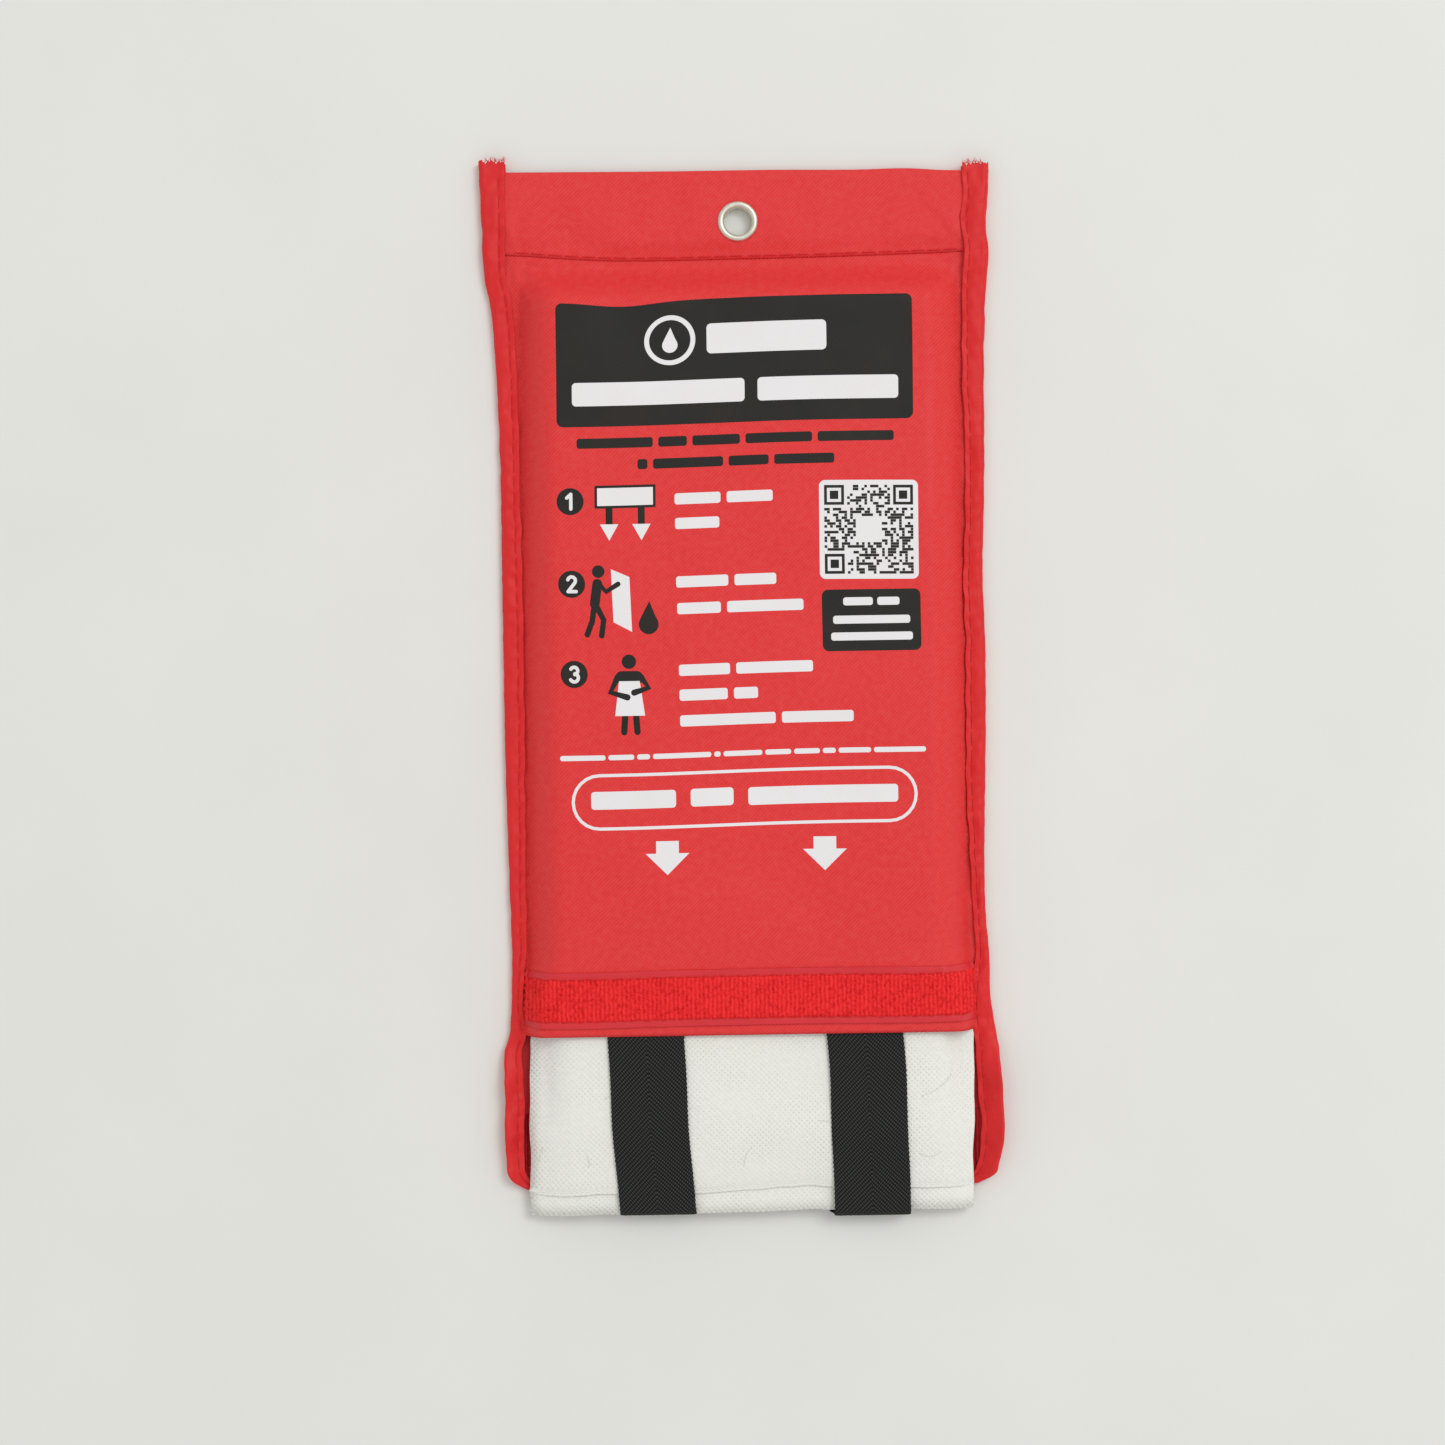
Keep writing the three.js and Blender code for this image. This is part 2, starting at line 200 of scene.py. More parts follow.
def seam_puckers(x, y):
    """Folds that fan out from both ends of the header seam, and small ones along it."""
    total = 0
    for side, count, seed in ((-1, 11, 3), (1, 9, 4)):
        across = x - side * 80
        along = y - 152
        turn = np.arctan2(along, -side * across)
        away = np.hypot(across, along)
        folds = np.sin(count * turn + seed) + 0.5 * np.sin(2.3 * count * turn)
        total = total + folds * np.exp(-away / 11) * ease(away, 0, 8)
    small = ripple(x, y * 0.15, 7, 11) * np.exp(-np.abs(y - 151) / 5)
    return 0.55 * total + 0.16 * small * (0.4 + 0.6 * mound(x, -62, 30))


def relief(x, y):
    """How far the front cloth stands off its plain shape."""
    valley = -0.9 * mound(x, -41, 9) * ease(y, 112, 134) * ease(-y, -155, -146)
    dent = -0.75 * mound(x, 25, 9) * mound(y, -77, 10) - 0.35 * mound(x, 10, 26) * mound(y, -62, 9)
    broad = 0.42 * ripple(x, y, 88, 1) + 0.13 * ripple(x, y, 34, 2) + 0.035 * ripple(x, y, 13, 5)
    drag = 0.22 * np.sin((x * 0.75 + y) / 8.5) * mound(x, 66, 16) * mound(y, 128, 18)
    inside = ease(SLOPE_FOOT - np.abs(x), 0, 12)
    return (valley + dent + broad) * inside + drag + seam_puckers(x, y)


def front_surface(x, y):
    """The upper face of the front panel."""
    ramp = ease(-y, -RAMP_FOOT, RAMP_LENGTH - RAMP_FOOT)
    plain = SEAM_TOP + (FRONT_TOP - SEAM_TOP) * swell(x, y) * ramp
    over_edge = 0.5 * ease(-y, -MOUTH - 1.6, -MOUTH + 0.2)
    return plain + relief(x, y) * ease(y, MOUTH - 4, MOUTH + 22) * 0.85 + 0.15 * relief(x, y) - over_edge


def flap_lift(x, y):
    """The open flap's sides curl up."""
    beyond = np.clip(np.abs(x) - 76.5, 0, None)
    flare = ease(-y, 118, 142) * (1 + 0.25 * ripple(x * 0.3, y, 21, 21))
    crumple = 0.18 * ripple(x, y, 13, 22) * ease(np.abs(x), 76, 80) * ease(-y, 116, 130)
    curl = 0.033 * beyond**2 * flare + crumple
    return np.clip(curl + 0.15 * (1 + ripple(x, y, 40, 23)) * ease(-y, 118, 135), 0, None)


# ---------------------------------------------------------------- meshes

def make_object(name, points, faces, materials, slots=None, flat=None):
    """A mesh object from points in millimetres. flat is each point's place on the flat cloth."""
    mesh = bpy.data.meshes.new(name)
    mesh.from_pydata((np.asarray(points, float).reshape(-1, 3) * MM).tolist(), [], faces)
    for material in materials:
        mesh.materials.append(material)
    if slots is not None:
        mesh.polygons.foreach_set("material_index", np.asarray(slots, np.int32))
    mesh.polygons.foreach_set("use_smooth", [True] * len(mesh.polygons))
    if flat is None:
        flat = np.asarray(points, float).reshape(-1, 3)[:, :2]
    flat = np.asarray(flat, float).reshape(-1, 2)
    layer = mesh.uv_layers.new(name="flat")
    loops = np.zeros(len(mesh.loops), np.int32)
    mesh.loops.foreach_get("vertex_index", loops)
    layer.data.foreach_set("uv", (flat[loops] * MM).astype(np.float32).ravel())
    mesh.update()
    mesh.validate()
    piece = bpy.data.objects.new(name, mesh)
    bpy.context.scene.collection.objects.link(piece)
    return piece


def thicken(piece, thickness, material_offset=0):
    """Gives a surface its thickness, below the side that its faces look to."""
    solid = piece.modifiers.new("thickness", "SOLIDIFY")
    solid.thickness = thickness * MM
    solid.offset = -1
    solid.use_rim = True
    solid.material_offset = material_offset
    solid.material_offset_rim = material_offset
    return piece


def quads(rows, columns, flip=False):
    """The faces of a grid of points."""
    index = np.arange(rows * columns).reshape(rows, columns)
    found = np.stack([index[:-1, :-1], index[:-1, 1:], index[1:, 1:], index[1:, :-1]], -1).reshape(-1, 4)
    return (found[:, ::-1] if flip else found).tolist()


def grid_object(name, x, y, z, material, thickness=None, flat=None, flip=False):
    """A sheet from arrays of coordinates, whose rows run along the piece and columns across it."""
    points = np.stack(np.broadcast_arrays(x, y, z), -1)
    rows, columns = points.shape[:2]
    if flat is None:
        flat = points[..., :2]
    else:
        flat = np.stack(np.broadcast_arrays(*flat), -1)
    piece = make_object(name, points, quads(rows, columns, flip), [material], flat=flat)
    return thicken(piece, thickness) if thickness else piece


def rods(name, paths, radius, material, sides=6, reference=(0, 0, 1)):
    """Thin round rods with closed ends. paths holds one row of points for each rod."""
    paths = np.asarray(paths, float)
    count, steps, _ = paths.shape
    tangent = np.gradient(paths, axis=1)
    tangent /= np.linalg.norm(tangent, axis=2, keepdims=True)
    reference = np.broadcast_to(np.asarray(reference, float), (count, 3))[:, None, :]
    side = np.cross(tangent, reference)
    side /= np.linalg.norm(side, axis=2, keepdims=True)
    lift = np.cross(side, tangent)
    turn = np.arange(sides) * 2 * math.pi / sides
    thick = np.broadcast_to(np.asarray(radius, float), (steps,))[None, :, None, None]
    around = side[:, :, None, :] * np.cos(turn)[:, None] + lift[:, :, None, :] * np.sin(turn)[:, None]
    points = (paths[:, :, None, :] + thick * around).reshape(-1, 3)
    faces = []
    for rod in range(count):
        start = rod * steps * sides
        for step in range(steps - 1):
            ring = start + step * sides
            for k in range(sides):
                after = (k + 1) % sides
                faces.append([ring + k, ring + sides + k, ring + sides + after, ring + after])
        faces.append([start + k for k in range(sides)])
        last = start + (steps - 1) * sides
        faces.append([last + k for k in reversed(range(sides))])
    return make_object(name, points, faces, [material])


def stitches(name, place, start, end, pitch, material, seed):
    """A row of stitches. place(s) gives the points of the seam's line at the places s along it."""
    rng = np.random.default_rng(seed)
    length = 0.9 * pitch
    begins = np.arange(start, end - length, pitch)
    begins = begins + rng.uniform(-0.08, 0.08, len(begins)) * pitch
    share = np.array([0, 0.08, 0.3, 0.7, 0.92, 1])
    paths = place(begins[:, None] + share[None, :] * length)
    paths[..., 2] += np.array([-0.3, 0.02, 0.16, 0.16, 0.02, -0.3])
    paths[..., :2] += rng.uniform(-0.05, 0.05, paths.shape[:1] + (1, 2))
    return rods(name, paths, np.array([0.5, 0.9, 1, 1, 0.9, 0.5]) * THREAD, material)


def seam(name, node, body, place, start, end, pitch, seed):
    """A row of red stitches in place of a CAD node."""
    piece = stitches(name, place, start, end, pitch, red_thread, seed)
    finish_piece(piece, body, "red_thread", node)


def lathe(name, profile, centre, material, turns=96):
    """A closed ring from a closed profile of (radius, height)."""
    radius, height = np.array(profile).T
    turn = np.linspace(0, 2 * math.pi, turns, endpoint=False)[:, None]
    points = np.stack(np.broadcast_arrays(
        centre[0] + radius * np.cos(turn), centre[1] + radius * np.sin(turn), height), -1)
    count = len(radius)
    faces = []
    for i in range(turns):
        j = (i + 1) % turns
        for k in range(count):
            after = (k + 1) % count
            faces.append([i * count + k, j * count + k, j * count + after, i * count + after])
    return make_object(name, points, faces, [material])


def finish_piece(piece, body, slot, *nodes):
    """Rides a piece on its body and hides the CAD nodes that it replaces."""
    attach(piece, body)
    if nodes:
        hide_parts(*nodes)
    return piece


def bend_piece(piece, slot, *nodes):
    """A piece that crosses the fold line: its transform is baked into its mesh, and the CAD nodes that it
    replaces are hidden.
    """
    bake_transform(piece)
    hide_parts(*nodes)
    return piece


# ---------------------------------------------------------------- sheets cut from outlines

def signed_area(shape):
    """Above 0 where the outline runs counter-clockwise."""
    x, y = np.array(shape).T
    return float(np.sum(x * np.roll(y, -1) - y * np.roll(x, -1)) / 2)


def cut_sheet(name, boundary, pitch, artwork, materials, place):
    """A flat cloth, triangulated so that its artwork has clean edges, then put in place.
    boundary(y) gives the cloth's left and right edge. artwork is a list of (outline, material index),
    later ones on top, and index None cuts a hole. place(x, y) gives the three coordinates."""
    left, right, rows = boundary
    low, high = rows[0], rows[-1]
    border = cut_long([(left(y), y) for y in rows[::-1]] + [(right(y), y) for y in rows], pitch)
    shapes = [(border, 0)] + artwork
    verts, faces, taken = [], [], set()
    cell = pitch * 0.55  # loose points keep out of the cells that an outline crosses
    for shape, _ in shapes:
        if signed_area(shape) < 0:
            shape = shape[::-1]
        faces.append(list(range(len(verts), len(verts) + len(shape))))
        verts.extend(shape)
        ring = np.array(shape)
        for a, b in zip(ring, np.roll(ring, -1, axis=0)):
            count = max(1, int(np.linalg.norm(b - a) / (cell * 0.6)))
            for t in np.linspace(0, 1, count + 1):
                p = a + (b - a) * t
                taken.add((int(p[0] // cell), int(p[1] // cell)))
    for row, y in enumerate(np.arange(low + pitch, high - pitch * 0.5, pitch * 0.866)):
        for x in np.arange(left(y) + pitch * (1 + 0.5 * (row % 2)), right(y) - pitch * 0.7, pitch):
            if (int(x // cell), int(y // cell)) not in taken:
                verts.append((x, y))
    points, _, triangles, _, _, sources = delaunay_2d_cdt(
        [Vector(v) for v in verts], [], faces, 0, 1e-5)
    flat = np.array([tuple(p) for p in points])
    kept, slots = [], []
    for triangle, source in zip(triangles, sources):
        if not source or 0 not in source:
            continue
        index = shapes[max(source)][1]
        if index is None:
            continue
        kept.append(triangle)
        slots.append(index)
    used = sorted({i for t in kept for i in t})
    renumber = {old: new for new, old in enumerate(used)}
    kept = [[renumber[i] for i in t] for t in kept]
    flat = flat[used]
    points = np.stack(place(flat[:, 0], flat[:, 1]), -1)
    return make_object(name, points, kept, materials, slots=slots, flat=flat)


# ---------------------------------------------------------------- artwork, on the flat front panel

RED, BLACK, WHITE = 0, 1, 2
SKEW = 0.012  # the print runs up a little to the right


def arc(centre, radius, start, end, count):
    """Points on a round stretch, between two angles in degrees."""
    turns = np.linspace(math.radians(start), math.radians(end), count)
    return [(centre[0] + radius * math.cos(t), centre[1] + radius * math.sin(t)) for t in turns]


def disc(centre, radius, count=40):
    return arc(centre, radius, 0, 360 - 360 / count, count)


def bar(left, right, middle, height, radius=None, skew=SKEW):
    """A rounded bar, cut into short lengths so that it can follow the cloth."""
    half = height / 2
    radius = half if radius is None else radius
    low, high = middle - half, middle + half
    shape = arc((right - radius, high - radius), radius, 90, 0, 7)
    shape += arc((right - radius, low + radius), radius, 0, -90, 7)
    shape += arc((left + radius, low + radius), radius, -90, -180, 7)
    shape += arc((left + radius, high - radius), radius, 180, 90, 7)
    shape = cut_long(shape)
    centre = (left + right) / 2
    return [(x, y + (x - centre) * skew) for x, y in shape]


def cut_long(shape, longest=3.0):
    """Adds points along the long straight stretches of an outline."""
    found = []
    for a, b in zip(shape, shape[1:] + shape[:1]):
        a, b = np.array(a, float), np.array(b, float)
        count = max(1, int(np.linalg.norm(b - a) / longest))
        found += [tuple(a + (b - a) * k / count) for k in range(count)]
    return found


def limb(points, width):
    """A bent stroke with round ends."""
    line = [np.array(p, float) for p in points]
    sides = []
    for way in (1, -1):
        row = line if way == 1 else line[::-1]
        edge = []
        for i, p in enumerate(row):
            before = row[max(i - 1, 0)]
            after = row[min(i + 1, len(row) - 1)]
            run = (after - before) / np.linalg.norm(after - before)
            edge.append(p + np.array([-run[1], run[0]]) * width / 2)
        last = row[-1] - row[-2]
        turn = math.degrees(math.atan2(last[1], last[0]))
        sides += [tuple(p) for p in edge[:-1]] + arc(row[-1], width / 2, turn + 90, turn - 90, 9)
    return sides


def numeral(digit, centre, height):
    """The outlines of a numeral 1, 2 or 3, as strokes."""
    x, y = centre
    w = height * 0.19
    h = height / 2 - w / 2
    if digit == 1:
        flag = limb([(x - 0.45 * h, y + 0.5 * h), (x + 0.1 * h, y + h)], w)
        return [flag, limb([(x + 0.1 * h, y + h), (x + 0.1 * h, y - h)], w)]
    if digit == 2:
        top = arc((x, y + 0.48 * h), 0.52 * h, 165, -35, 12)
        foot = (x - 0.5 * h, y - h)
        return [limb(top + [foot], w), limb([foot, (x + 0.6 * h, y - h)], w)]
    upper = arc((x, y + 0.48 * h), 0.5 * h, 150, -80, 12)
    lower = arc((x, y - 0.45 * h), 0.56 * h, 80, -150, 12)
    return [limb(upper, w), limb(lower, w)]


def flame(centre, height):
    """A plain drop with a pointed top."""
    x, y = centre
    r = height * 0.3
    right, tip = (x + r * 0.62, y + height * 0.1), (x + r * 0.1, y + height / 2)
    left = (x - r * 0.65, y + height * 0.08)
    return arc((x, y - height / 2 + r), r, 160, 380, 18) + [right, tip, left]


def words(left, right, middle, height, lengths):
    """A line of plain bars in place of words, between left and right. lengths are their shares."""
    space = height * 0.55
    room = right - left - space * (len(lengths) - 1)
    scale = room / sum(lengths)
    centre = (left + right) / 2
    bars, x = [], left
    for length in lengths:
        shift = (x + length * scale / 2 - centre) * SKEW
        bars.append(bar(x, x + length * scale, middle + shift, height, radius=min(0.45 * height, 0.9)))
        x += length * scale + space
    return bars


def code_square(centre, side):
    """A square of random blocks, which says nothing: (outline, ink) pairs."""
    rng = np.random.default_rng(77)
    cells = 31
    margin = side * 0.05
    step = (side - 2 * margin) / cells
    corner = np.array(centre) - side / 2 + margin
    dark = rng.random((cells, cells)) < 0.47
    mark, quiet = 7, 8
    for rows in (slice(0, quiet), slice(cells - quiet, cells)):
        for columns in (slice(0, quiet), slice(cells - quiet, cells)):
            if not (rows.start == 0 and columns.start != 0):
                dark[rows, columns] = False
    middle = slice(cells // 2 - 4, cells // 2 + 5)
    dark[middle, middle] = False

    def box(column, row, width, height):
        low = corner + np.array([column, row]) * step + 0.03
        high = corner + np.array([column + width, row + height]) * step - 0.03
        return [(low[0], low[1]), (high[0], low[1]), (high[0], high[1]), (low[0], high[1])]

    found = [(bar(centre[0] - side / 2, centre[0] + side / 2, centre[1], side, 2.1, 0.0), WHITE)]
    for row in range(cells):
        column = 0
        while column < cells:
            run = 0
            while column + run < cells and dark[row, column + run]:
                run += 1
            if run:
                found.append((box(column, row, run, 1), BLACK))
            column += max(run, 1)
    for column, row in ((0, 0), (0, cells - mark), (cells - mark, cells - mark)):
        found.append((box(column, row, mark, mark), BLACK))
        found.append((box(column + 1, row + 1, mark - 2, mark - 2), WHITE))
        found.append((box(column + 2, row + 2, mark - 4, mark - 4), BLACK))
    return found


def pull_pictogram():
    """A folded blanket with two straps, and an arrow down from each."""
    art = [(bar(-51.2, -30.0, 66.6, 8.0, 0.5), BLACK), (bar(-50.3, -30.9, 66.6, 6.2, 0.2), WHITE)]
    for x in (-46.2, -35.0):
        art.append((bar(x - 1.2, x + 1.2, 60.0, 6.4, 0.2, 0), BLACK))
        art.append(([(x - 3.2, 57.0), (x + 3.2, 57.0), (x, 51.3)], WHITE))
    return art


def limbs(*strokes):
    """Black strokes, each given as its width and its points."""
    return [(limb(points, width), BLACK) for width, *points in strokes]


def cover_pictogram():
    """A figure that holds a sheet up in front of a flame."""
    art = [(disc((-50.2, 40.6), 2.2), BLACK)]
    trunk = (3.4, (-50.6, 36.4), (-51.6, 29.4))
    front_leg = (2.0, (-51.0, 28.6), (-48.6, 23.8), (-49.4, 18.4))
    back_leg = (2.0, (-51.8, 28.6), (-52.6, 23.4), (-54.4, 18.8))
    art += limbs(trunk, front_leg, back_leg)
    sheet = [(-45.8, 41.4), (-39.4, 38.6), (-38.8, 19.6), (-45.2, 23.0)]
    art.append((cut_long(sheet), WHITE))
    arm = (1.8, (-50.2, 36.6), (-47.6, 33.6), (-43.4, 36.2))
    return art + limbs(arm) + [(flame((-33.0, 24.4), 11.5), BLACK)]


def wrap_pictogram():
    """A standing figure with a sheet round the body."""
    x = -40.2
    art = [(disc((x, 9.3), 2.5), BLACK)]
    left_leg, right_leg = (2.2, (x - 1.6, -8.0), (x - 2.2, -15.0)), (2.2, (x + 2.0, -8.0), (x + 2.4, -15.0))
    art += limbs(left_leg, right_leg, (4.6, (x - 2.6, 3.8), (x + 2.6, 3.8)))
    sheet = [(x - 3.6, 2.6), (x + 3.6, 2.6), (x + 5.2, -9.4), (x - 5.2, -9.4)]
    art.append((cut_long(sheet), WHITE))
    left_arm = (2.2, (x - 4.0, 4.0), (x - 6.6, -1.2), (x - 0.8, -3.0))
    right_arm = (2.2, (x + 4.0, 4.0), (x + 6.6, 0.2), (x + 1.6, -1.4))
    return art + limbs(left_arm, right_arm)


def arrow(x, top):
    """A short broad arrow that points down to a pull tab."""
    half_shaft, half_head, shoulder, tip = 3.95, 7.6, 4.3, 11.8
    return cut_long([
        (x - half_shaft, top), (x + half_shaft, top), (x + half_shaft, top - shoulder),
        (x + half_head, top - shoulder), (x, top - tip), (x - half_head, top - shoulder),
        (x - half_shaft, top - shoulder),
    ])


def printed_artwork():
    """Everything printed on the front, as (outline, ink) pairs, later ones on top."""
    art = [(bar(-64.2, 59.7, 113.4, 43.6, 2.3), BLACK)]
    emblem = (-24.6, 121.2)
    art += [(disc(emblem, 8.9, 56), WHITE), (disc(emblem, 7.2, 56), BLACK), (flame(emblem, 9.0), WHITE)]
    for left, right, middle, height, radius in (
            (-11.8, 29.8, 121.4, 10.5, 1.6), (-58.8, 1.2, 102.6, 8.2, 1.4), (5.7, 54.6, 103.3, 8.2, 1.4)):
        art.append((bar(left, right, middle, height, radius), WHITE))
    lines = [
        (-57.3, 52.9, 85.8, 3.5, BLACK, (8, 3, 5, 7, 8)), (-36.2, 32.2, 78.2, 3.5, BLACK, (1, 7, 4, 6)),
        (-23.4, 10.7, 65.6, 3.9, WHITE, (4, 4)), (-23.3, -7.9, 56.9, 3.9, WHITE, (4,)),
        (-23.2, 11.6, 36.7, 3.9, WHITE, (5, 4)), (-23.0, 20.9, 27.5, 3.9, WHITE, (4, 7)),
        (-22.9, 23.7, 6.2, 3.9, WHITE, (4, 6)), (-22.9, 4.4, -2.5, 3.9, WHITE, (4, 2)),
        (-22.9, 37.4, -11.2, 3.9, WHITE, (8, 6)),
        (-64.9, 62.2, -23.2, 1.8, WHITE, (7, 4, 2, 9, 1, 6, 4, 4, 2, 5, 8)),
    ]
    for left, right, middle, height, tone, lengths in lines:
        art += [(shape, tone) for shape in words(left, right, middle, height, lengths)]
    for digit, centre in ((1, (-59.7, 65.0)), (2, (-59.5, 36.3)), (3, (-59.3, 5.1))):
        art.append((disc(centre, 4.7), BLACK))
        art += [(shape, WHITE) for shape in numeral(digit, centre, 6.3)]
    art += pull_pictogram() + cover_pictogram() + wrap_pictogram()
    art += code_square((44.0, 53.6), 34.4)
    art.append((bar(27.3, 61.6, 22.2, 21.3, 2.2), BLACK))
    for middle, half, lengths in ((28.7, 9.8, (4, 3)), (22.4, 13.4, (1,)), (16.6, 14.2, (1,))):
        art += [(shape, WHITE) for shape in words(44.5 - half, 44.5 + half, middle, 2.8, lengths)]
    art.append((bar(-61.2, 59.1, -38.6, 19.6), WHITE))
    art.append((bar(-60.1, 58.0, -38.6, 17.4), RED))
    for left, right, middle in ((-54.4, -24.9, -38.5), (-19.8, -4.9, -38.1), (0.2, 52.3, -37.9)):
        art.append((bar(left, right, middle, 6.2, 1.2), WHITE))
    art += [(arrow(-28.1, -53.0), WHITE), (arrow(26.6, -52.6), WHITE)]
    return [([follow_cloth(*p) for p in shape], ink) for shape, ink in art]


def follow_cloth(x, y):
    """The print lies skewed where the cloth is pulled under the header."""
    pull = -1.7 * mound(x, -41, 15) * ease(y, 104, 136)
    sway = 0.25 * math.sin(x / 19.0 + 0.6) + 0.2 * math.sin(y / 31.0)
    return (float(x - 0.25 * math.sin(y / 26.0)), float(y + pull + sway))


# ---------------------------------------------------------------- materials

def srgb(red, green, blue):
    """A colour given as the eye sees it, 0 to 255, for a shader socket."""
    values = []
    for value in (red, green, blue):
        c = value / 255
        values.append(c / 12.92 if c <= 0.04045 else ((c + 0.055) / 1.055) ** 2.4)
    return (*values, 1.0)


class Shader:
    """A material whose nodes are made with short calls."""

    def __init__(self, name, roughness, metallic=0.0, sheen=0.0, specular=0.5):
        self.material = bpy.data.materials.new(name)
        self.material.use_nodes = True
        self.nodes = self.material.node_tree.nodes
        self.links = self.material.node_tree.links
        self.bsdf = self.nodes["Principled BSDF"]
        for socket, value in (
                ("Roughness", roughness), ("Metallic", metallic),
                ("Sheen Weight", sheen), ("Specular IOR Level", specular)):
            self.bsdf.inputs[socket].default_value = value
        place = self.nodes.new("ShaderNodeUVMap")
        place.uv_map = "flat"
        self.flat = place.outputs[0]
        parts = self.nodes.new("ShaderNodeSeparateXYZ")
        self.links.new(self.flat, parts.inputs[0])
        self.x = self.times(parts.outputs[0], 1 / MM)
        self.y = self.times(parts.outputs[1], 1 / MM)

    def put(self, value, socket):
        if isinstance(value, bpy.types.NodeSocket):
            self.links.new(value, socket)
        else:
            socket.default_value = value

    def math(self, operation, first, second=None):
        made = self.nodes.new("ShaderNodeMath")
        made.operation = operation
        self.put(first, made.inputs[0])
        if second is not None:
            self.put(second, made.inputs[1])
        return made.outputs[0]

    def times(self, first, second):
        return self.math("MULTIPLY", first, second)

    def plus(self, first, second):
        return self.math("ADD", first, second)

    def minus(self, first, second):
        return self.math("SUBTRACT", first, second)

    def total(self, *terms):
        """The sum of (value, weight) terms."""
        found = None
        for value, weight in terms:
            part = self.times(value, weight)
            found = part if found is None else self.plus(found, part)
        return found

    def wave(self, along, pitch):
        """From 0 to 1 and back over each pitch of along, in millimetres."""
        turned = self.times(along, 2 * math.pi / pitch)
        return self.plus(self.times(self.math("SINE", turned), 0.5), 0.5)

    def noise(self, length, detail=3.0, rough=0.55, stretch=(1.0, 1.0)):
        """From 0 to 1, with lumps about length millimetres across."""
        mapping = self.nodes.new("ShaderNodeMapping")
        scale = 1 / (length * MM)
        mapping.inputs["Scale"].default_value = (scale / stretch[0], scale / stretch[1], scale)
        self.links.new(self.flat, mapping.inputs["Vector"])
        made = self.nodes.new("ShaderNodeTexNoise")
        for socket, value in (("Scale", 1.0), ("Detail", detail), ("Roughness", rough)):
            made.inputs[socket].default_value = value
        self.links.new(mapping.outputs[0], made.inputs["Vector"])
        return made.outputs["Fac"]

    def spread(self, value, low, high, to_low=0.0, to_high=1.0):
        """Stretches low..high to another range, held at its ends."""
        made = self.nodes.new("ShaderNodeMapRange")
        for socket, number in zip(made.inputs[1:5], (low, high, to_low, to_high)):
            socket.default_value = number
        self.links.new(value, made.inputs[0])
        return made.outputs[0]

    def mix(self, share, first, second):
        made = self.nodes.new("ShaderNodeMix")
        made.data_type = "RGBA"
        self.put(share, made.inputs["Factor"])
        self.put(first, made.inputs["A"])
        self.put(second, made.inputs["B"])
        return made.outputs["Result"]

    def colour(self, value):
        self.put(value, self.bsdf.inputs["Base Color"])

    def roughness(self, value):
        self.put(value, self.bsdf.inputs["Roughness"])

    def bump(self, height, depth, strength=1.0):
        """height from 0 to 1 stands for depth millimetres."""
        made = self.nodes.new("ShaderNodeBump")
        made.inputs["Strength"].default_value = strength
        made.inputs["Distance"].default_value = depth * MM
        self.links.new(height, made.inputs["Height"])
        self.links.new(made.outputs[0], self.bsdf.inputs["Normal"])


def darker(colour, share):
    return tuple(c * share for c in colour[:3]) + (1,)


def twill(shader):
    """Fine diagonal ribs, with the threads that cross them."""
    slanted = shader.minus(shader.x, shader.y)
    crossing = shader.plus(shader.x, shader.y)
    return shader.total((shader.wave(slanted, 1.4), 0.8), (shader.wave(crossing, 0.7), 0.2))


def coated_cloth(name, base, worn, seam=None, scuffs=1.0):
    """A polyester twill with a thin coating, scuffed pale in places."""
    shader = Shader(name, 0.5, specular=0.24)
    ribs = twill(shader)
    patches = shader.noise(55, 2.0)
    grain = shader.noise(2.2, 4.0, 0.7)
    scratches = shader.noise(9, 8.0, 0.72, (1.0, 2.6))
    marks = shader.times(shader.spread(scratches, 0.62, 0.78), shader.spread(patches, 0.45, 0.62))
    shade = shader.mix(shader.spread(ribs, 0.15, 0.85), darker(base, 0.83), base)
    shade = shader.mix(shader.spread(grain, 0.35, 0.7, 0.0, 0.14), shade, worn)
    shade = shader.mix(shader.times(marks, 0.34 * scuffs), shade, worn)
    shader.colour(shade)
    shader.roughness(shader.spread(shader.total((patches, 0.6), (grain, 0.4)), 0.3, 0.7, 0.44, 0.62))
    shader.bump(shader.total((ribs, 0.7), (grain, 0.5), (shader.noise(6, 3.0), 0.5)), 0.09, 0.75)
    return shader.material


def ink(name, base, through_colour):
    """Screen ink on the twill, worn a little on the ribs."""
    shader = Shader(name, 0.55, specular=0.22)
    ribs = twill(shader)
    patches = shader.noise(14, 5.0, 0.7)
    wear = shader.times(shader.spread(ribs, 0.72, 0.95), shader.spread(patches, 0.5, 0.74))
    specks = shader.spread(shader.noise(1.1, 2.0, 0.6), 0.76, 0.8)
    tone = shader.mix(shader.spread(shader.noise(26, 3.0), 0.35, 0.7, 0.0, 0.08), base, through_colour)
    bare = shader.math("MAXIMUM", shader.times(wear, 0.3), specks)
    shader.colour(shader.mix(bare, tone, through_colour))
    shader.roughness(shader.spread(ribs, 0.2, 0.9, 0.5, 0.62))
    shader.bump(shader.total((ribs, 0.8), (shader.noise(3, 3.0), 0.35)), 0.07, 0.7)
    return shader.material


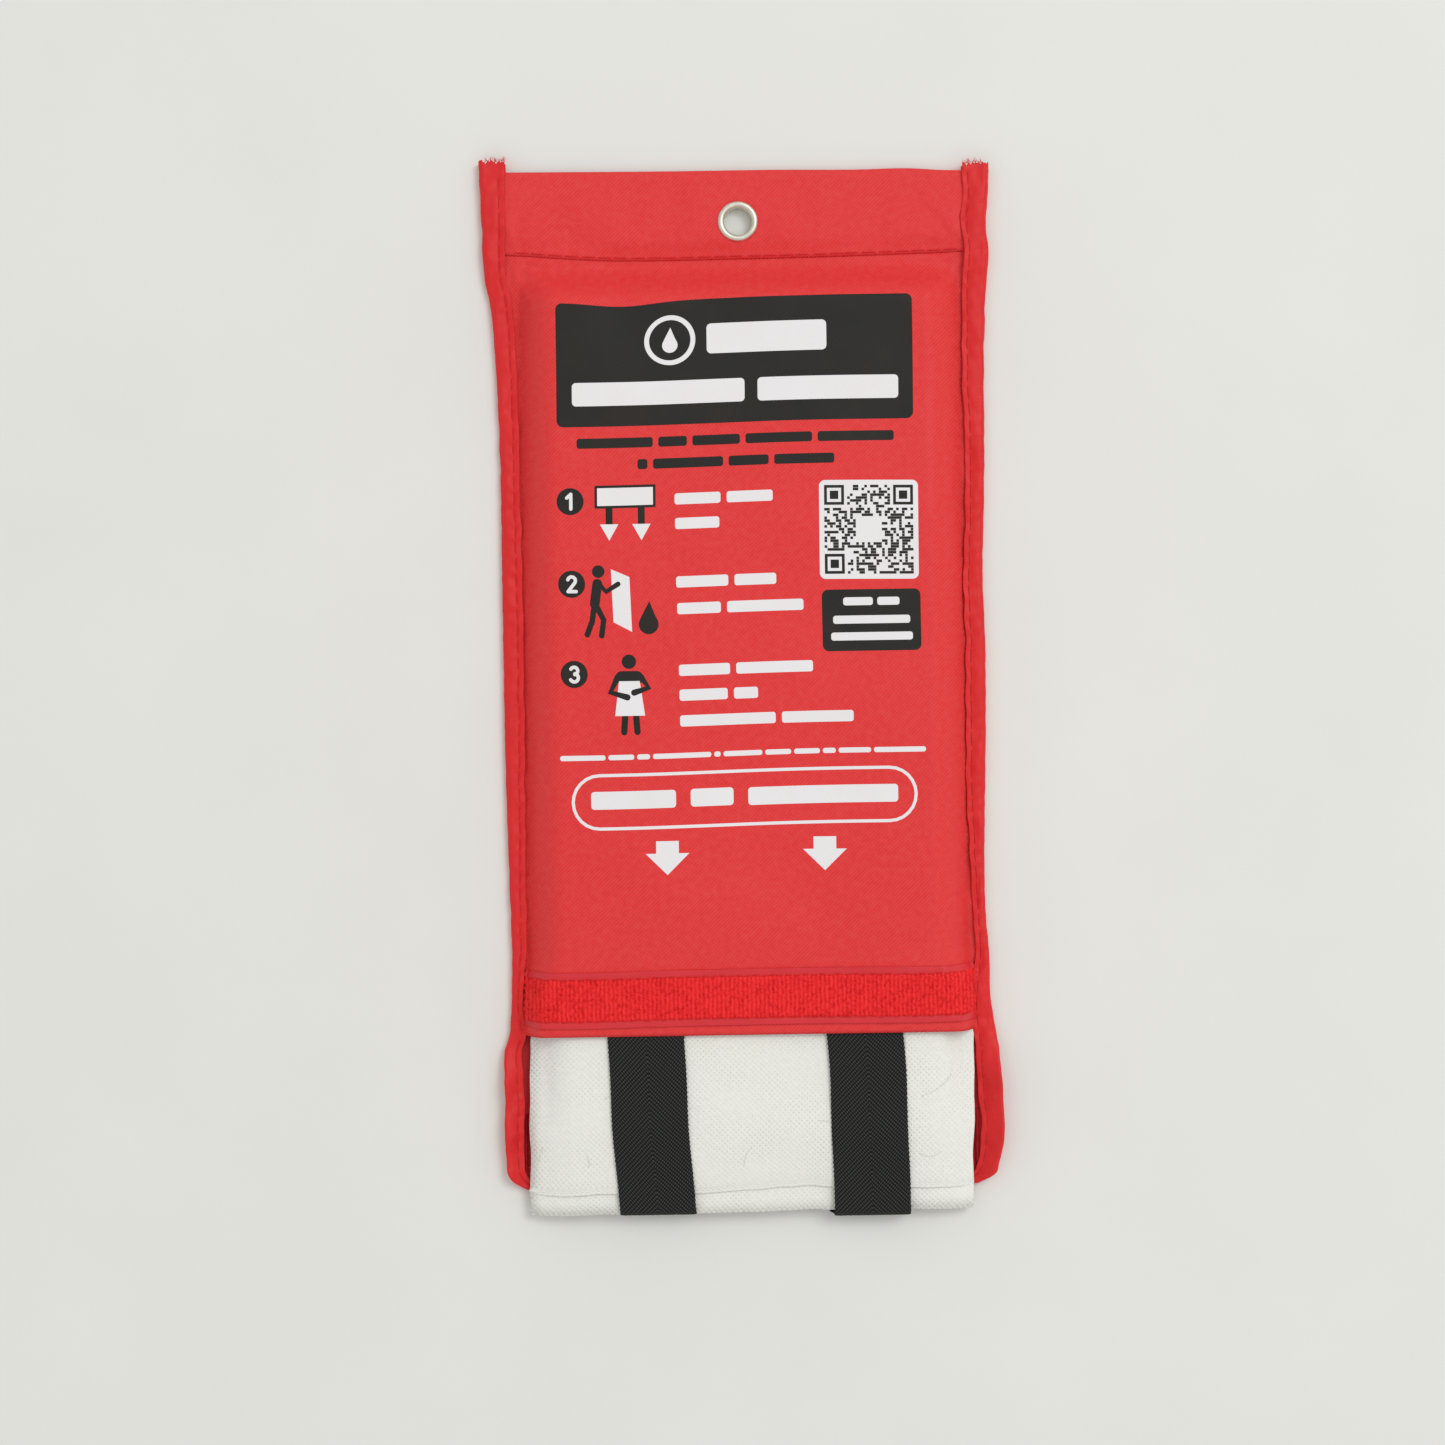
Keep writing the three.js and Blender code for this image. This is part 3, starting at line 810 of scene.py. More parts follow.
def binding_cloth(name, base, worn):
    """A smooth woven tape, a little shinier than the cloth."""
    shader = Shader(name, 0.45, specular=0.3)
    weave = shader.total((shader.wave(shader.x, 0.55), 0.5), (shader.wave(shader.y, 0.5), 0.5))
    patches = shader.noise(17, 4.0, 0.6)
    creases = shader.spread(shader.noise(5.0, 6.0, 0.7, (1.0, 0.45)), 0.58, 0.76)
    shade = shader.mix(shader.spread(patches, 0.35, 0.7, 0.0, 0.35), base, darker(base, 0.8))
    shader.colour(shader.mix(shader.times(creases, 0.22), shade, worn))
    shader.roughness(shader.spread(patches, 0.3, 0.7, 0.38, 0.55))
    shader.bump(shader.total((weave, 0.4), (patches, 1.2), (shader.noise(3, 4.0), 0.5)), 0.13, 0.8)
    return shader.material


def loop_fabric(name, base, dark):
    """Brushed loops in close columns, matt and fuzzy. The dark colour is painted shade in the crevices
    between the columns and among the fuzz.
    """
    shader = Shader(name, 0.9, specular=0.15)
    wander = shader.times(shader.noise(3, 2.0), 1.2)
    columns = shader.wave(shader.plus(shader.x, wander), 1.5)
    fuzz = shader.noise(0.7, 5.0, 0.75)
    # painted shade: the crevices between the loop columns and among the fuzz take the dark colour
    tone = shader.spread(shader.total((columns, 0.5), (fuzz, 0.5)), 0.25, 0.7)
    shader.colour(shader.mix(tone, dark, base))
    shader.bump(shader.total((columns, 0.5), (fuzz, 0.8)), 0.14, 0.8)
    return shader.material


def thread_fibre(name, base, dark):
    """Twisted sewing thread."""
    shader = Shader(name, 0.65, specular=0.25)
    twist = shader.wave(shader.plus(shader.x, shader.y), 0.35)
    shader.colour(shader.mix(twist, dark, base))
    shader.bump(twist, 0.05, 0.6)
    return shader.material


def glass_cloth(name):
    """Open-weave glass fibre cloth with tiny gaps between its yarns, painted darker grey there as painted
    shade.
    """
    shader = Shader(name, 0.62, sheen=0.15, specular=0.5)
    bend = shader.times(shader.noise(14, 2.0), 1.3)
    rising = shader.plus(shader.plus(shader.x, shader.y), bend)
    falling = shader.plus(shader.minus(shader.x, shader.y), bend)
    warp = shader.wave(rising, 1.9)
    weft = shader.wave(falling, 1.9)
    pits = shader.times(shader.minus(1.0, warp), shader.minus(1.0, weft))
    openness = shader.spread(shader.noise(26, 3.0), 0.4, 0.72, 0.12, 1.0)
    shaded_holes = shader.times(shader.spread(pits, 0.42, 0.9), openness)
    fibre = shader.spread(shader.noise(1.6, 4.0, 0.7), 0.3, 0.7)
    yarn = shader.mix(fibre, srgb(234, 234, 227), srgb(244, 244, 237))
    tint = shader.mix(shader.spread(shader.noise(40, 2.0), 0.4, 0.7, 0.0, 0.3), yarn, srgb(234, 236, 224))
    # painted shade: the gaps between the yarns take a darker grey, for the shade where the layer beneath
    # shows through
    shader.colour(shader.mix(shader.times(shaded_holes, 0.5), tint, srgb(172, 174, 166)))
    shader.bsdf.inputs["Subsurface Weight"].default_value = 0.12
    shader.bsdf.inputs["Subsurface Radius"].default_value = (0.001, 0.001, 0.001)
    height = shader.total((warp, 0.5), (weft, 0.5), (shaded_holes, -0.8), (shader.noise(0.5, 3.0), 0.25))
    shader.bump(height, 0.14, 0.7)
    return shader.material


def webbing_weave(name):
    """Black herringbone webbing: fine diagonals that meet on the middle line."""
    shader = Shader(name, 0.75, specular=0.22)
    mirrored = shader.math("ABSOLUTE", shader.x)
    ribs = shader.wave(shader.minus(shader.y, mirrored), 1.6)
    yarns = shader.wave(shader.plus(shader.y, shader.times(mirrored, 1.3)), 1.3)
    knots = shader.times(ribs, yarns)
    fibre = shader.noise(0.4, 4.0, 0.7)
    tone = shader.spread(shader.total((knots, 0.8), (fibre, 0.25)), 0.12, 0.66)
    shader.colour(shader.mix(tone, srgb(3, 4, 4), srgb(66, 68, 65)))
    shader.bump(shader.total((knots, 0.8), (fibre, 0.2)), 0.25, 0.9)
    return shader.material


def nickel(name):
    """Bright plated metal, with faint wear round it."""
    shader = Shader(name, 0.4, metallic=1.0)
    wear = shader.noise(3.5, 5.0, 0.6)
    shader.colour(shader.mix(shader.spread(wear, 0.35, 0.7), srgb(214, 210, 196), srgb(232, 229, 216)))
    shader.roughness(shader.spread(wear, 0.3, 0.7, 0.36, 0.48))
    shader.bump(wear, 0.01, 0.4)
    return shader.material


def floor_surface(name):
    """Matt pale board with a faint mottle."""
    shader = Shader(name, 0.8, specular=0.2)
    mottle = shader.noise(90, 4.0)
    shader.colour(shader.mix(shader.spread(mottle, 0.3, 0.7), srgb(231, 231, 227), srgb(234, 234, 230)))
    shader.bump(shader.noise(2.5, 4.0), 0.03, 0.5)
    return shader.material


red_cloth = coated_cloth("red_coated_cloth", srgb(236, 53, 54), srgb(242, 118, 116))
back_cloth = coated_cloth("red_back_cloth", srgb(204, 32, 40), srgb(230, 84, 88), scuffs=0.6)
black_ink = ink("black_ink", srgb(34, 35, 32), srgb(96, 60, 56))
white_ink = ink("white_ink", srgb(238, 236, 238), srgb(234, 190, 190))
red_binding = binding_cloth("red_binding", srgb(224, 36, 38), srgb(238, 88, 88))
# the loop pile's second colour is painted shade in the crevices between its columns
red_loops = loop_fabric("red_loop_pile", srgb(246, 56, 56), srgb(232, 36, 40))
red_selvage = binding_cloth("red_selvage", srgb(220, 48, 56), srgb(234, 96, 100))
# the hook base's second colour is painted shade in the crevices between its columns
red_hooks = loop_fabric("red_hook_base", srgb(176, 28, 34), srgb(120, 12, 18))
red_thread = thread_fibre("red_thread", srgb(226, 46, 50), srgb(206, 34, 40))
black_thread = thread_fibre("black_thread", srgb(34, 34, 34), srgb(10, 10, 10))
glass = glass_cloth("woven_glass")
glass_fibre = thread_fibre("glass_fibre", srgb(232, 230, 225), srgb(206, 196, 190))
black_webbing = webbing_weave("black_herringbone")
metal = nickel("nickel_plate")


# ---------------------------------------------------------------- the pouch

def cloth_edge(side, inset=0.9):
    """The cloth's own edge, a little inside the binding's fold."""
    return lambda y: float(side * (outline(side, np.array(float(y))) - inset))


def front_panel():
    rows = np.arange(MOUTH, HEADER_TOP - FRONT_LAP + 0.1, 2.0)
    boundary = (cloth_edge(-1), cloth_edge(1), rows)
    inks = [red_cloth, black_ink, white_ink, back_cloth]

    def place(x, y):
        # it goes down under the facing
        return x, y, front_surface(x, y) - 1.1 * ease(y - header_seam(x), 0.1, 1.8)

    piece = cut_sheet("front_panel_cloth", boundary, 1.35, printed_artwork(), inks, place)
    thicken(piece, CLOTH, material_offset=3)
    finish_piece(piece, "pouch", "pouch_cloth", "front_panel")
    return piece


def facing_height(x, y):
    """Over the padding of the folded edge, and down onto the front panel at its own lower edge."""
    wave = 0.3 * ripple(x, y, 46, 31) + 0.1 * ripple(x, y, 15, 32)
    plain = FACING_TOP + 0.3 + wave * ease(HEADER_TOP - y, 0, 8) + 0.8 * seam_puckers(x, y)
    above_seam = y - header_seam(x)
    on_front = front_surface(x, header_seam(x)) + 0.3 + 0.25 * ease(above_seam, 0, 0.8)
    return on_front + (plain - on_front) * ease(above_seam, 1.0, 7)


def header_top(x):
    """The folded top edge wanders a little."""
    points = [(-90, 1.8), (-60, 1.6), (-20, 1.3), (10, 1.3), (45, 0.9), (58, 1.1), (75, 0.2), (90, 0.1)]
    return HEADER_TOP + through(points, x) - 0.6


def header_facing():
    """Folded over the top edge. Past the fold the flat place runs on down the back."""
    bend = 1.3
    turned = math.pi * bend
    flat_top = HEADER_TOP + 3
    low = HEADER_TOP - FACING_LENGTH
    rows = np.arange(low, flat_top + 0.1, 0.75)
    hole = disc((0, EYELET_Y), EYELET_HOLE, 48)
    boundary = (cloth_edge(-1, 1.4), cloth_edge(1, 1.4), rows)

    def place(x, y):
        crest = header_top(x) - bend
        share = ease(HEADER_TOP - 6 - y, 0, 20)
        y = y + share * (header_seam(x) - low)
        past = np.clip(y - crest, 0, turned)
        down = np.clip(y - crest - turned, 0, None)
        turn = past / bend
        at_y = np.where(y < crest, y, crest + bend * np.sin(turn) - down)
        z = facing_height(x, np.minimum(y, crest)) - bend * (1 - np.cos(turn))
        return x, at_y, np.maximum(z, 0.9)

    piece = cut_sheet("header_facing_cloth", boundary, 1.2, [(hole, None)], [red_cloth, back_cloth], place)
    thicken(piece, CLOTH, material_offset=1)
    finish_piece(piece, "pouch", "pouch_cloth", "header_facing")
    return piece


def back_and_flap():
    """One cloth from the header's fold to the flap's end."""
    rows = np.concatenate([np.arange(FLAP_END, -110, 0.9), np.arange(-110, HEADER_TOP - 1.5, 2.4)])
    hole = disc((0, EYELET_Y), EYELET_HOLE, 48)
    boundary = (cloth_edge(-1), cloth_edge(1), rows)

    def place(x, y):
        return x, y, BACK_TOP + flap_lift(x, y) + 0.12 * (1 + ripple(x, y, 37, 61))

    piece = cut_sheet("back_panel_and_flap_cloth", boundary, 2.1, [(hole, None)], [back_cloth], place)
    thicken(piece, CLOTH)
    return bend_piece(piece, "pouch_cloth", "back_panel", "closing_flap")


def flap_hem():
    """The flap's end, turned in over its upper face, with a soft folded edge."""
    x = np.linspace(hem_low.x, hem_high.x, 150)[None, :]
    y = np.linspace(FLAP_END - 0.3, hem_high.y, 16)[:, None]
    puff = 0.5 * np.sin(np.clip((y - FLAP_END + 0.3) / 3.0, 0, 1) * math.pi / 2)
    z = BACK_TOP + 0.35 + puff + flap_lift(x, y) + 0.12 * ripple(x, y, 12, 62)
    piece = grid_object("flap_hem_fold", x, y, z, red_cloth, CLOTH)
    return finish_piece(piece, "flap", "pouch_cloth", "flap_hem")


def binding_surface(side, y, share):
    """A binding tape's outer face. share runs from -1, the lower leg's edge, to 1, the upper one's."""
    height = FACING_TOP - 0.2 + TAPE + 0.9 * ease(y, 140, 151)
    height = height - (height - BACK_TOP - 1.5) * ease(-y, -MOUTH - 0.5, -FOLD_LINE - 2)
    width = binding_width(side, y) + 0.25 * ripple(y * 0, y, 17, 70 + side)
    edge = outline(side, y)
    bend = np.minimum(height / 2, 1.9)
    inner = edge - width
    leg = width - bend
    turn = np.clip(share / 0.3, -1, 1) * math.pi / 2
    flat_share = np.clip((np.abs(share) - 0.3) / 0.7, 0, 1)
    x = edge - bend + bend * np.cos(turn) - leg * flat_share
    z = height / 2 + height / 2 * np.sin(turn)
    upper = ease(share, -0.2, 0.4)
    wrinkle = 0.22 * ripple(x * 1.4, y, 14, 80 + side) + 0.1 * ripple(x, y, 5, 90 + side)
    # the stitches draw the tape down, and it stands up again beside them
    seam_at = inner + SEAM_INSET
    drawn = -0.17 * mound(x, seam_at, 0.9) + 0.1 * mound(x, inner + 4.4, 1.6)
    pucker = 0.1 * mound(x, seam_at, 2.2) * np.sin(y * 2 * math.pi / STITCH)
    z = z + upper * (wrinkle + drawn + pucker) + flap_lift(x, y)
    return side * x, y, np.maximum(z, 0.0)


RAW_END = {-1: 186.0, 1: 182.8}  # where each binding is cut off, past the header


def frayed(y, share, side):
    """The raw ends past the header are cut unevenly."""
    jag = 0.5 * ripple(share * 6, share * 0, 1.1, 100 + side)
    jag = jag + 0.25 * ripple(share * 20, share * 0, 1.3, 101)
    end = RAW_END[side]
    return np.where(y > end - 3, y + jag * (y - end + 3) / 3, y)


def binding(side, name):
    """The tape, with more points where it bends and on the flap."""
    lower, bend, upper = np.linspace(-1, -0.3, 9), np.linspace(-0.3, 0.3, 11), np.linspace(0.3, 1, 21)
    share = np.concatenate([lower[:-1], bend, upper[1:]])[None, :]
    on_flap, on_pouch = np.arange(FLAP_END + 0.2, -100, 0.55), np.arange(-100, RAW_END[side] + 0.2, 0.8)
    along = frayed(np.concatenate([on_flap, on_pouch])[:, None], share, side)
    surface = binding_surface(side, along, share)
    flat = (share * 9, along)
    piece = grid_object(f"binding_tape_{name}", *surface, red_binding, TAPE * 0.7, flat, flip=side > 0)
    bend_piece(piece, "binding_tape", f"binding_{name}", f"flap_binding_{name}")


def binding_threads(side, name):
    """The seam down each binding, one piece for the pouch and one for the flap."""

    def place(y):
        leg = binding_width(side, y) - 1.6
        share = 0.3 + 0.7 * np.clip((leg - SEAM_INSET) / leg, 0, 1)
        px, py, pz = binding_surface(side, y, share)
        return np.stack([px, py, pz + 0.05], -1)

    fold = FOLD_LINE + 13
    top = HEADER_TOP - 0.5
    seam(f"binding_seam_{name}", f"binding_stitching_{name}", "pouch", place, fold, top, STITCH, 110 + side)
    lower = stitches(f"flap_binding_seam_{name}", place, FLAP_END + 2, fold, STITCH, red_thread, 112 + side)
    bend_piece(lower, "red_thread", f"flap_binding_stitching_{name}")


def fray_threads(side, name):
    """Loose yarns at a binding's raw end."""
    rng = np.random.default_rng(120 + side)
    paths = []
    for _ in range(26):
        share = rng.uniform(0.35, 1.0)
        end = RAW_END[side] - 0.4
        x, y, z = binding_surface(side, np.array(end), np.array(share))
        start = np.array([float(x), float(y), float(z)])
        t = np.linspace(0, 1, 5)[:, None]
        lean = rng.uniform((-0.9, 0.7, -0.3), (0.9, 2.0, 0.3))
        sag = np.array([rng.uniform(-0.5, 0.5), 0, -0.3])
        paths.append(start + t * lean + t**2 * sag)
    piece = rods(f"binding_fray_{name}", paths, [0.1, 0.09, 0.08, 0.07, 0.04], red_binding, 4)
    finish_piece(piece, "pouch", "binding_tape")


def header_threads():
    """The row that holds the facing down."""

    def place(s):
        y = header_seam(s) + 1.0
        return np.stack([s, y, facing_height(s, y) + 0.06], -1)

    seam("header_seam_thread", "header_stitching", "pouch", place, -78.5, 78, STITCH, 130)


# ---------------------------------------------------------------- closure tapes

LOOP_REACH = 79.4  # half the loop tape's length
LOOP_COLUMN = 1.5  # the pitch of the columns that the loops stand in
LOOSE_LOOPS = 2600
HOOK_ROW = 1.35
HOOK_PITCH = 1.4


def tape_surface(x, y):
    """The loop tape lies on the front panel."""
    return front_surface(x, y) + 0.75 + 0.06 * ripple(x, y, 9, 141)


def loop_tape():
    """Smooth selvages, and between them a brushed middle in columns. The cut ends are ragged."""
    reach = LOOP_REACH
    x = np.arange(-reach, reach + 0.1, 0.42)[None, :]
    half = TAPE_WIDTH / 2
    v = np.linspace(-half, half, 52)[:, None]
    ragged = 0.5 * ripple(v, v * 0, 3.0, 142) + 0.25 * ripple(v, v * 0, 1.1, 143)
    x = x + np.where(np.abs(x) > reach - 2, np.sign(x) * ragged * (np.abs(x) - reach + 2) / 2, 0)
    y = LOOP_CENTRE + v + 0.35 * ripple(x, x * 0, 60, 144)
    scallop = 0.22 * np.abs(np.sin(x * math.pi / 2.9))
    pile = ease(half - np.abs(v) - scallop, 2.3, 2.9)
    column = np.abs(np.sin(x * math.pi / LOOP_COLUMN + 0.8 * ripple(x, y, 6, 145)))
    link = np.sin(y * 2 * math.pi / 1.3 + np.floor(x / LOOP_COLUMN) * 1.9)
    tufts = 0.14 * ripple(x, y, 1.7, 146) + 0.08 * ripple(x, y, 0.95, 147)
    fine = 0.05 * np.sin(x * 2 * math.pi / 0.9) * (1 - pile)
    z = tape_surface(x, y) + pile * (0.3 + 0.15 * column + 0.05 * link * column + 0.5 * tufts) + fine
    z = z - 0.2 * mound(np.abs(v), half - 2.4 - scallop, 0.3)
    piece = grid_object("loop_closure_tape", x, y, z, red_loops, 0.8)
    piece.data.materials.append(red_selvage)
    middle = np.abs(np.broadcast_to(v, z.shape))
    outside = (middle[:-1, :-1] + middle[1:, 1:]) / 2 > half - SELVAGE
    piece.data.polygons.foreach_set("material_index", outside.ravel().astype(np.int32))
    finish_piece(piece, "pouch", "loop_tape", "loop_tape")


def loop_pile():
    """Single loops that stand out of the tape's brushed middle, and loose ones at its cut ends."""
    rng = np.random.default_rng(150)
    count = LOOSE_LOOPS
    half = TAPE_WIDTH / 2 - 2.9
    cx = np.sign(rng.uniform(-1, 1, count)) * (80 - 80 * rng.uniform(0, 1, count) ** 1.25)
    cy = LOOP_CENTRE + rng.uniform(-half, half, count)
    turn = rng.uniform(0, math.pi, count)
    size = rng.uniform(0.35, 0.75, count)
    t = np.linspace(0, math.pi, 5)[None, :]
    along = -np.cos(t) * size[:, None]
    x = cx[:, None] + along * np.cos(turn)[:, None]
    y = cy[:, None] + along * np.sin(turn)[:, None]
    z = tape_surface(x, y) + 0.3 + np.sin(t) * size[:, None] * 0.7
    reference = np.stack([-np.sin(turn), np.cos(turn), turn * 0], -1)
    piece = rods("loop_pile", np.stack([x, y, z], -1), 0.07, red_loops, 3, reference)
    finish_piece(piece, "pouch", "loop_tape")


def loop_threads():
    """A row of stitches along each border of the loop tape."""
    for name, way in (("upper", 1), ("lower", -1)):
        def place(s, way=way):
            sway = 0.35 * ripple(s, s * 0, 60, 144)
            y = LOOP_CENTRE + way * (TAPE_WIDTH / 2 - SELVAGE) + sway + 0.16 * np.sin(s * 2 * math.pi / 5.8)
            return np.stack([s, y, tape_surface(s, y) + 0.06], -1)

        nodes = f"loop_tape_seam_{name}", f"loop_stitching_{name}"
        seam(*nodes, "pouch", place, -77.5, 77.5, STITCH / 2, 155 + way)


def hook_tape():
    """The stiff base that the hooks stand on."""
    x = np.linspace(hook_low.x, hook_high.x, 240)[None, :]
    y = np.linspace(hook_low.y, hook_high.y, 34)[:, None]
    z = HOOK_TOP - 0.3 + flap_lift(x, y) + 0.08 * ripple(x, y, 14, 161)
    piece = grid_object("hook_closure_tape", x, y, z, red_hooks, 0.5)
    finish_piece(piece, "flap", "hook_tape", "hook_tape")


def hooks():
    """Rows of small stiff hooks on the hook tape."""
    rng = np.random.default_rng(163)
    paths = []
    for row, y in enumerate(np.arange(hook_low.y + 2.4, hook_high.y - 2.2, HOOK_ROW)):
        for x in np.arange(hook_low.x + 1 + HOOK_PITCH / 2 * (row % 2), hook_high.x - 1, HOOK_PITCH):
            px = x + rng.uniform(-0.15, 0.15)
            way = 1 if rng.random() < 0.5 else -1
            z = float(HOOK_TOP - 0.35 + flap_lift(np.array(px), np.array(y)))
            stem = [(px, y, z), (px, y, z + 0.55)]
            paths.append(stem + [(px + way * 0.16, y, z + 0.85), (px + way * 0.42, y, z + 0.8)])
    piece = rods("hook_rows", paths, [0.13, 0.12, 0.1, 0.08], red_hooks, 4, reference=(0, 1, 0))
    finish_piece(piece, "flap", "hook_tape")


def hook_threads():
    """The rows along the hook tape, and the one along the flap's hem."""
    for name, way in (("upper", 1), ("lower", -1)):
        def place(s, way=way):
            y = HOOK_CENTRE + way * (TAPE_WIDTH / 2 - 1.4) + s * 0
            return np.stack([s, y, HOOK_TOP - 0.2 + flap_lift(s, y)], -1)

        nodes = f"hook_tape_seam_{name}", f"hook_stitching_{name}"
        seam(*nodes, "flap", place, hook_low.x + 1, hook_high.x - 1, STITCH / 2, 165 + way)

    def hem_place(s):
        y = FLAP_END + 5.2 + s * 0
        return np.stack([s, y, BACK_TOP + 0.95 + flap_lift(s, y)], -1)

    nodes = "flap_hem_seam", "flap_hem_stitching"
    seam(*nodes, "flap", hem_place, hem_low.x + 1, hem_high.x - 1, STITCH, 168)


# ---------------------------------------------------------------- eyelet

def eyelet():
    """Rolled over at the front and clenched at the back."""
    bore, flange, top = BORE_RADIUS, FLANGE_RADIUS + 0.15, EYELET_TOP
    under = FACING_TOP + 0.45
    profile = [(bore, 0.05), (bore + 1.3, 0.05), (bore + 1.3, 0.2), (bore + 0.4, 0.25), (bore + 0.4, under)]
    profile += [(flange - 0.1, under)]
    middle = (bore + flange) / 2
    half = (flange - bore) / 2
    roll = top + 0.1 - under
    turns = np.linspace(0.15, math.pi - 0.1, 16)
    profile += [(middle + half * math.cos(t), under + roll * math.sin(t)) for t in turns]
    profile += [(bore + 0.02, under - 0.4)]
    piece = lathe("eyelet_barrel", profile, (0, EYELET_Y), metal)
    finish_piece(piece, "pouch", "eyelet_metal", "eyelet")
    inner, outer = bore + 0.5, flange + 0.2
    ring = [(inner, 0.25), (outer - 0.2, 0.25), (outer, 0.35), (outer - 0.3, 0.6), (inner, 0.65)]
    washer = lathe("eyelet_back_ring", ring, (0, EYELET_Y), metal)
    finish_piece(washer, "pouch", "eyelet_metal", "eyelet_washer")


# ---------------------------------------------------------------- the blanket

LAYERS = 6  # folded across, then in three along
PITCH = 0.44
PACK = LAYERS * PITCH
UPPER_FOLD = -176.4
INSIDE_HALF_WIDTH = 75.0  # in the pouch; it spreads past the mouth
SPREAD = 2.7


def blanket_half_width(y):
    wander = 0.25 * ripple(y * 0, y, 23, 201)
    return INSIDE_HALF_WIDTH + SPREAD * ease(-y, 115, 121) + wander * ease(-y, 122, 135)


def blanket_shift(y):
    """The blanket lies a little askew in the mouth."""
    return 0.45 * ease(-y, 100, 122) - 0.016 * np.clip(-y - 122, 0, None)


def blanket_low(y):
    """The underside: on the back panel, and a little higher over the open flap."""
    return bundle_low.z + (tail_low.z - bundle_low.z) * ease(-y, 128, 140)


def blanket_full(x, y):
    """The top of the folded pack: under the front panel, and free past the mouth."""
    free = tail_high.z - 0.2
    side = np.clip((np.abs(x) - 60) / 18, 0, 1)
    rounded = free - 6.0 * side**2
    inside = np.minimum(rounded, front_surface(x, np.clip(y, MOUTH + 31, 130)) - 2.9)
    inside = np.maximum(inside, blanket_low(y) + 1.2)
    return inside + (rounded - inside) * ease(-y, 140, 156)


def blanket_waves(x, y):
    """The upper layers billow a little past the mouth, and sag towards the fold."""
    out = ease(-y, 136, 150)
    sag = -0.9 * ease(-y, 160, 177)
    return out * (0.34 * ripple(x, y, 52, 211) + 0.12 * ripple(x, y, 19, 212) + sag)


def fold_wander(x):
    """The blanket's lower folds aren't quite straight."""
    return 0.9 * np.sin(x / 24 + 0.5) + 0.5 * np.sin(x / 9.5) + 0.25 * ripple(x, x * 0, 6, 214)


def blanket_across():
    """One crossing of all the layers: shares of the half width, extra reach, and height."""
    shares, extra, height = [], [], []
    for layer in range(LAYERS):
        way = 1 if layer % 2 == 0 else -1
        for share in np.linspace(-way, way, 40):
            shares.append(share)
            extra.append(0.0)
            height.append(layer * PITCH)
        if layer < LAYERS - 1:
            for turn in np.radians([45, 90, 135]):
                shares.append(way)
                extra.append(way * math.sin(turn) * PITCH / 2)
                height.append(layer * PITCH + (1 - math.cos(turn)) * PITCH / 2)
    return np.array(shares), np.array(extra), np.array(height)


def blanket_along():
    """The fold along the blanket: place, height of the pack's middle, and its facing there."""
    bend = PACK / 2
    inner = BUNDLE_TOP - PACK - 0.5
    upper = UPPER_FOLD + PACK
    y, z, turned = [], [], []

    def run(start, end, level, facing, count):
        for value in np.linspace(start, end, count):
            y.append(value)
            z.append(level)
            turned.append(facing)

    def turn_over(at, level, way):
        for turn in np.linspace(0, math.pi, 9)[1:-1]:
            y.append(at + way * bend * math.sin(turn))
            z.append(level + bend * (1 - math.cos(turn)))
            turned.append(way * turn)

    run(BOTTOM + 0.9, inner, bend, 0.0, 74)
    turn_over(inner, bend, 1)
    run(inner, upper, 3 * bend, math.pi, 72)
    turn_over(upper, 3 * bend, -1)
    run(upper, inner + 1.5, 5 * bend, 0.0, 72)
    return np.array(y), np.array(z), np.array(turned)


def blanket_place(x, y, height):
    """Moves the even stack of layers, height above its underside, into its soft shape."""
    share = (height / (3 * PACK)) ** (1 - 0.75 * ease(-y, 146, 174))  # the upper packs sink at the fold
    low = blanket_low(y)
    full = blanket_full(x, y)
    z = low + share * (full - low) + share**1.5 * blanket_waves(x, y)
    z = low + (z - low) * (1 - 0.34 * ease(-y, 150, 178))
    thin = ease(-y, -UPPER_FOLD - 1.5, -BOTTOM)
    return z - thin * (low - 3.6) * (1 - 0.4 * share)


def folded_blanket():
    shares, extra, height = blanket_across()
    y, z, turned = (v[:, None] for v in blanket_along())
    offset = height[None, :] - PACK / 2 + PITCH / 2
    at_y = y + offset * np.sin(turned) * np.where(turned == math.pi, 0, 1)
    level = z + offset * np.cos(turned)
    x = shares * (blanket_half_width(at_y) - PITCH / 2) + extra + blanket_shift(at_y)
    near = ease(-at_y, 160, 176)
    at_y = at_y + near * fold_wander(x) * np.where(z > PACK, 1.0, 0.35)
    # the cut layers at the free end don't lie flush
    free = ease(-y, 176, 184) * (z < PACK)
    at_y = at_y + free * 0.5 * np.sin(height[None, :] * 5 + x / 17)
    final = blanket_place(x, at_y, level)
    final = final + 0.05 * ripple(x, at_y, 4.5, 216) * ease(-at_y, 118, 124)
    flat_x = np.cumsum(np.concatenate([[0], np.hypot(np.diff(shares * 77), np.diff(height))]))[None, :]
    flat_y = np.cumsum(np.concatenate([[0], np.hypot(np.diff(y[:, 0]), np.diff(z[:, 0]))]))[:, None]
    piece = grid_object("folded_glass_blanket", x, at_y, final, glass, 0.28, (flat_x, flat_y))
    finish_piece(piece, "blanket", "glass_cloth", "blanket_bundle", "blanket_tail")
    squash(piece)
    return piece


def squash(piece):
    """Gives the piece its own copy of its mesh."""
    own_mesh(piece)


def blanket_top(x, y):
    """The upper face of the pack, where straps and hairs lie on it."""
    return blanket_place(x, y, 3 * PACK + y * 0) + 0.2


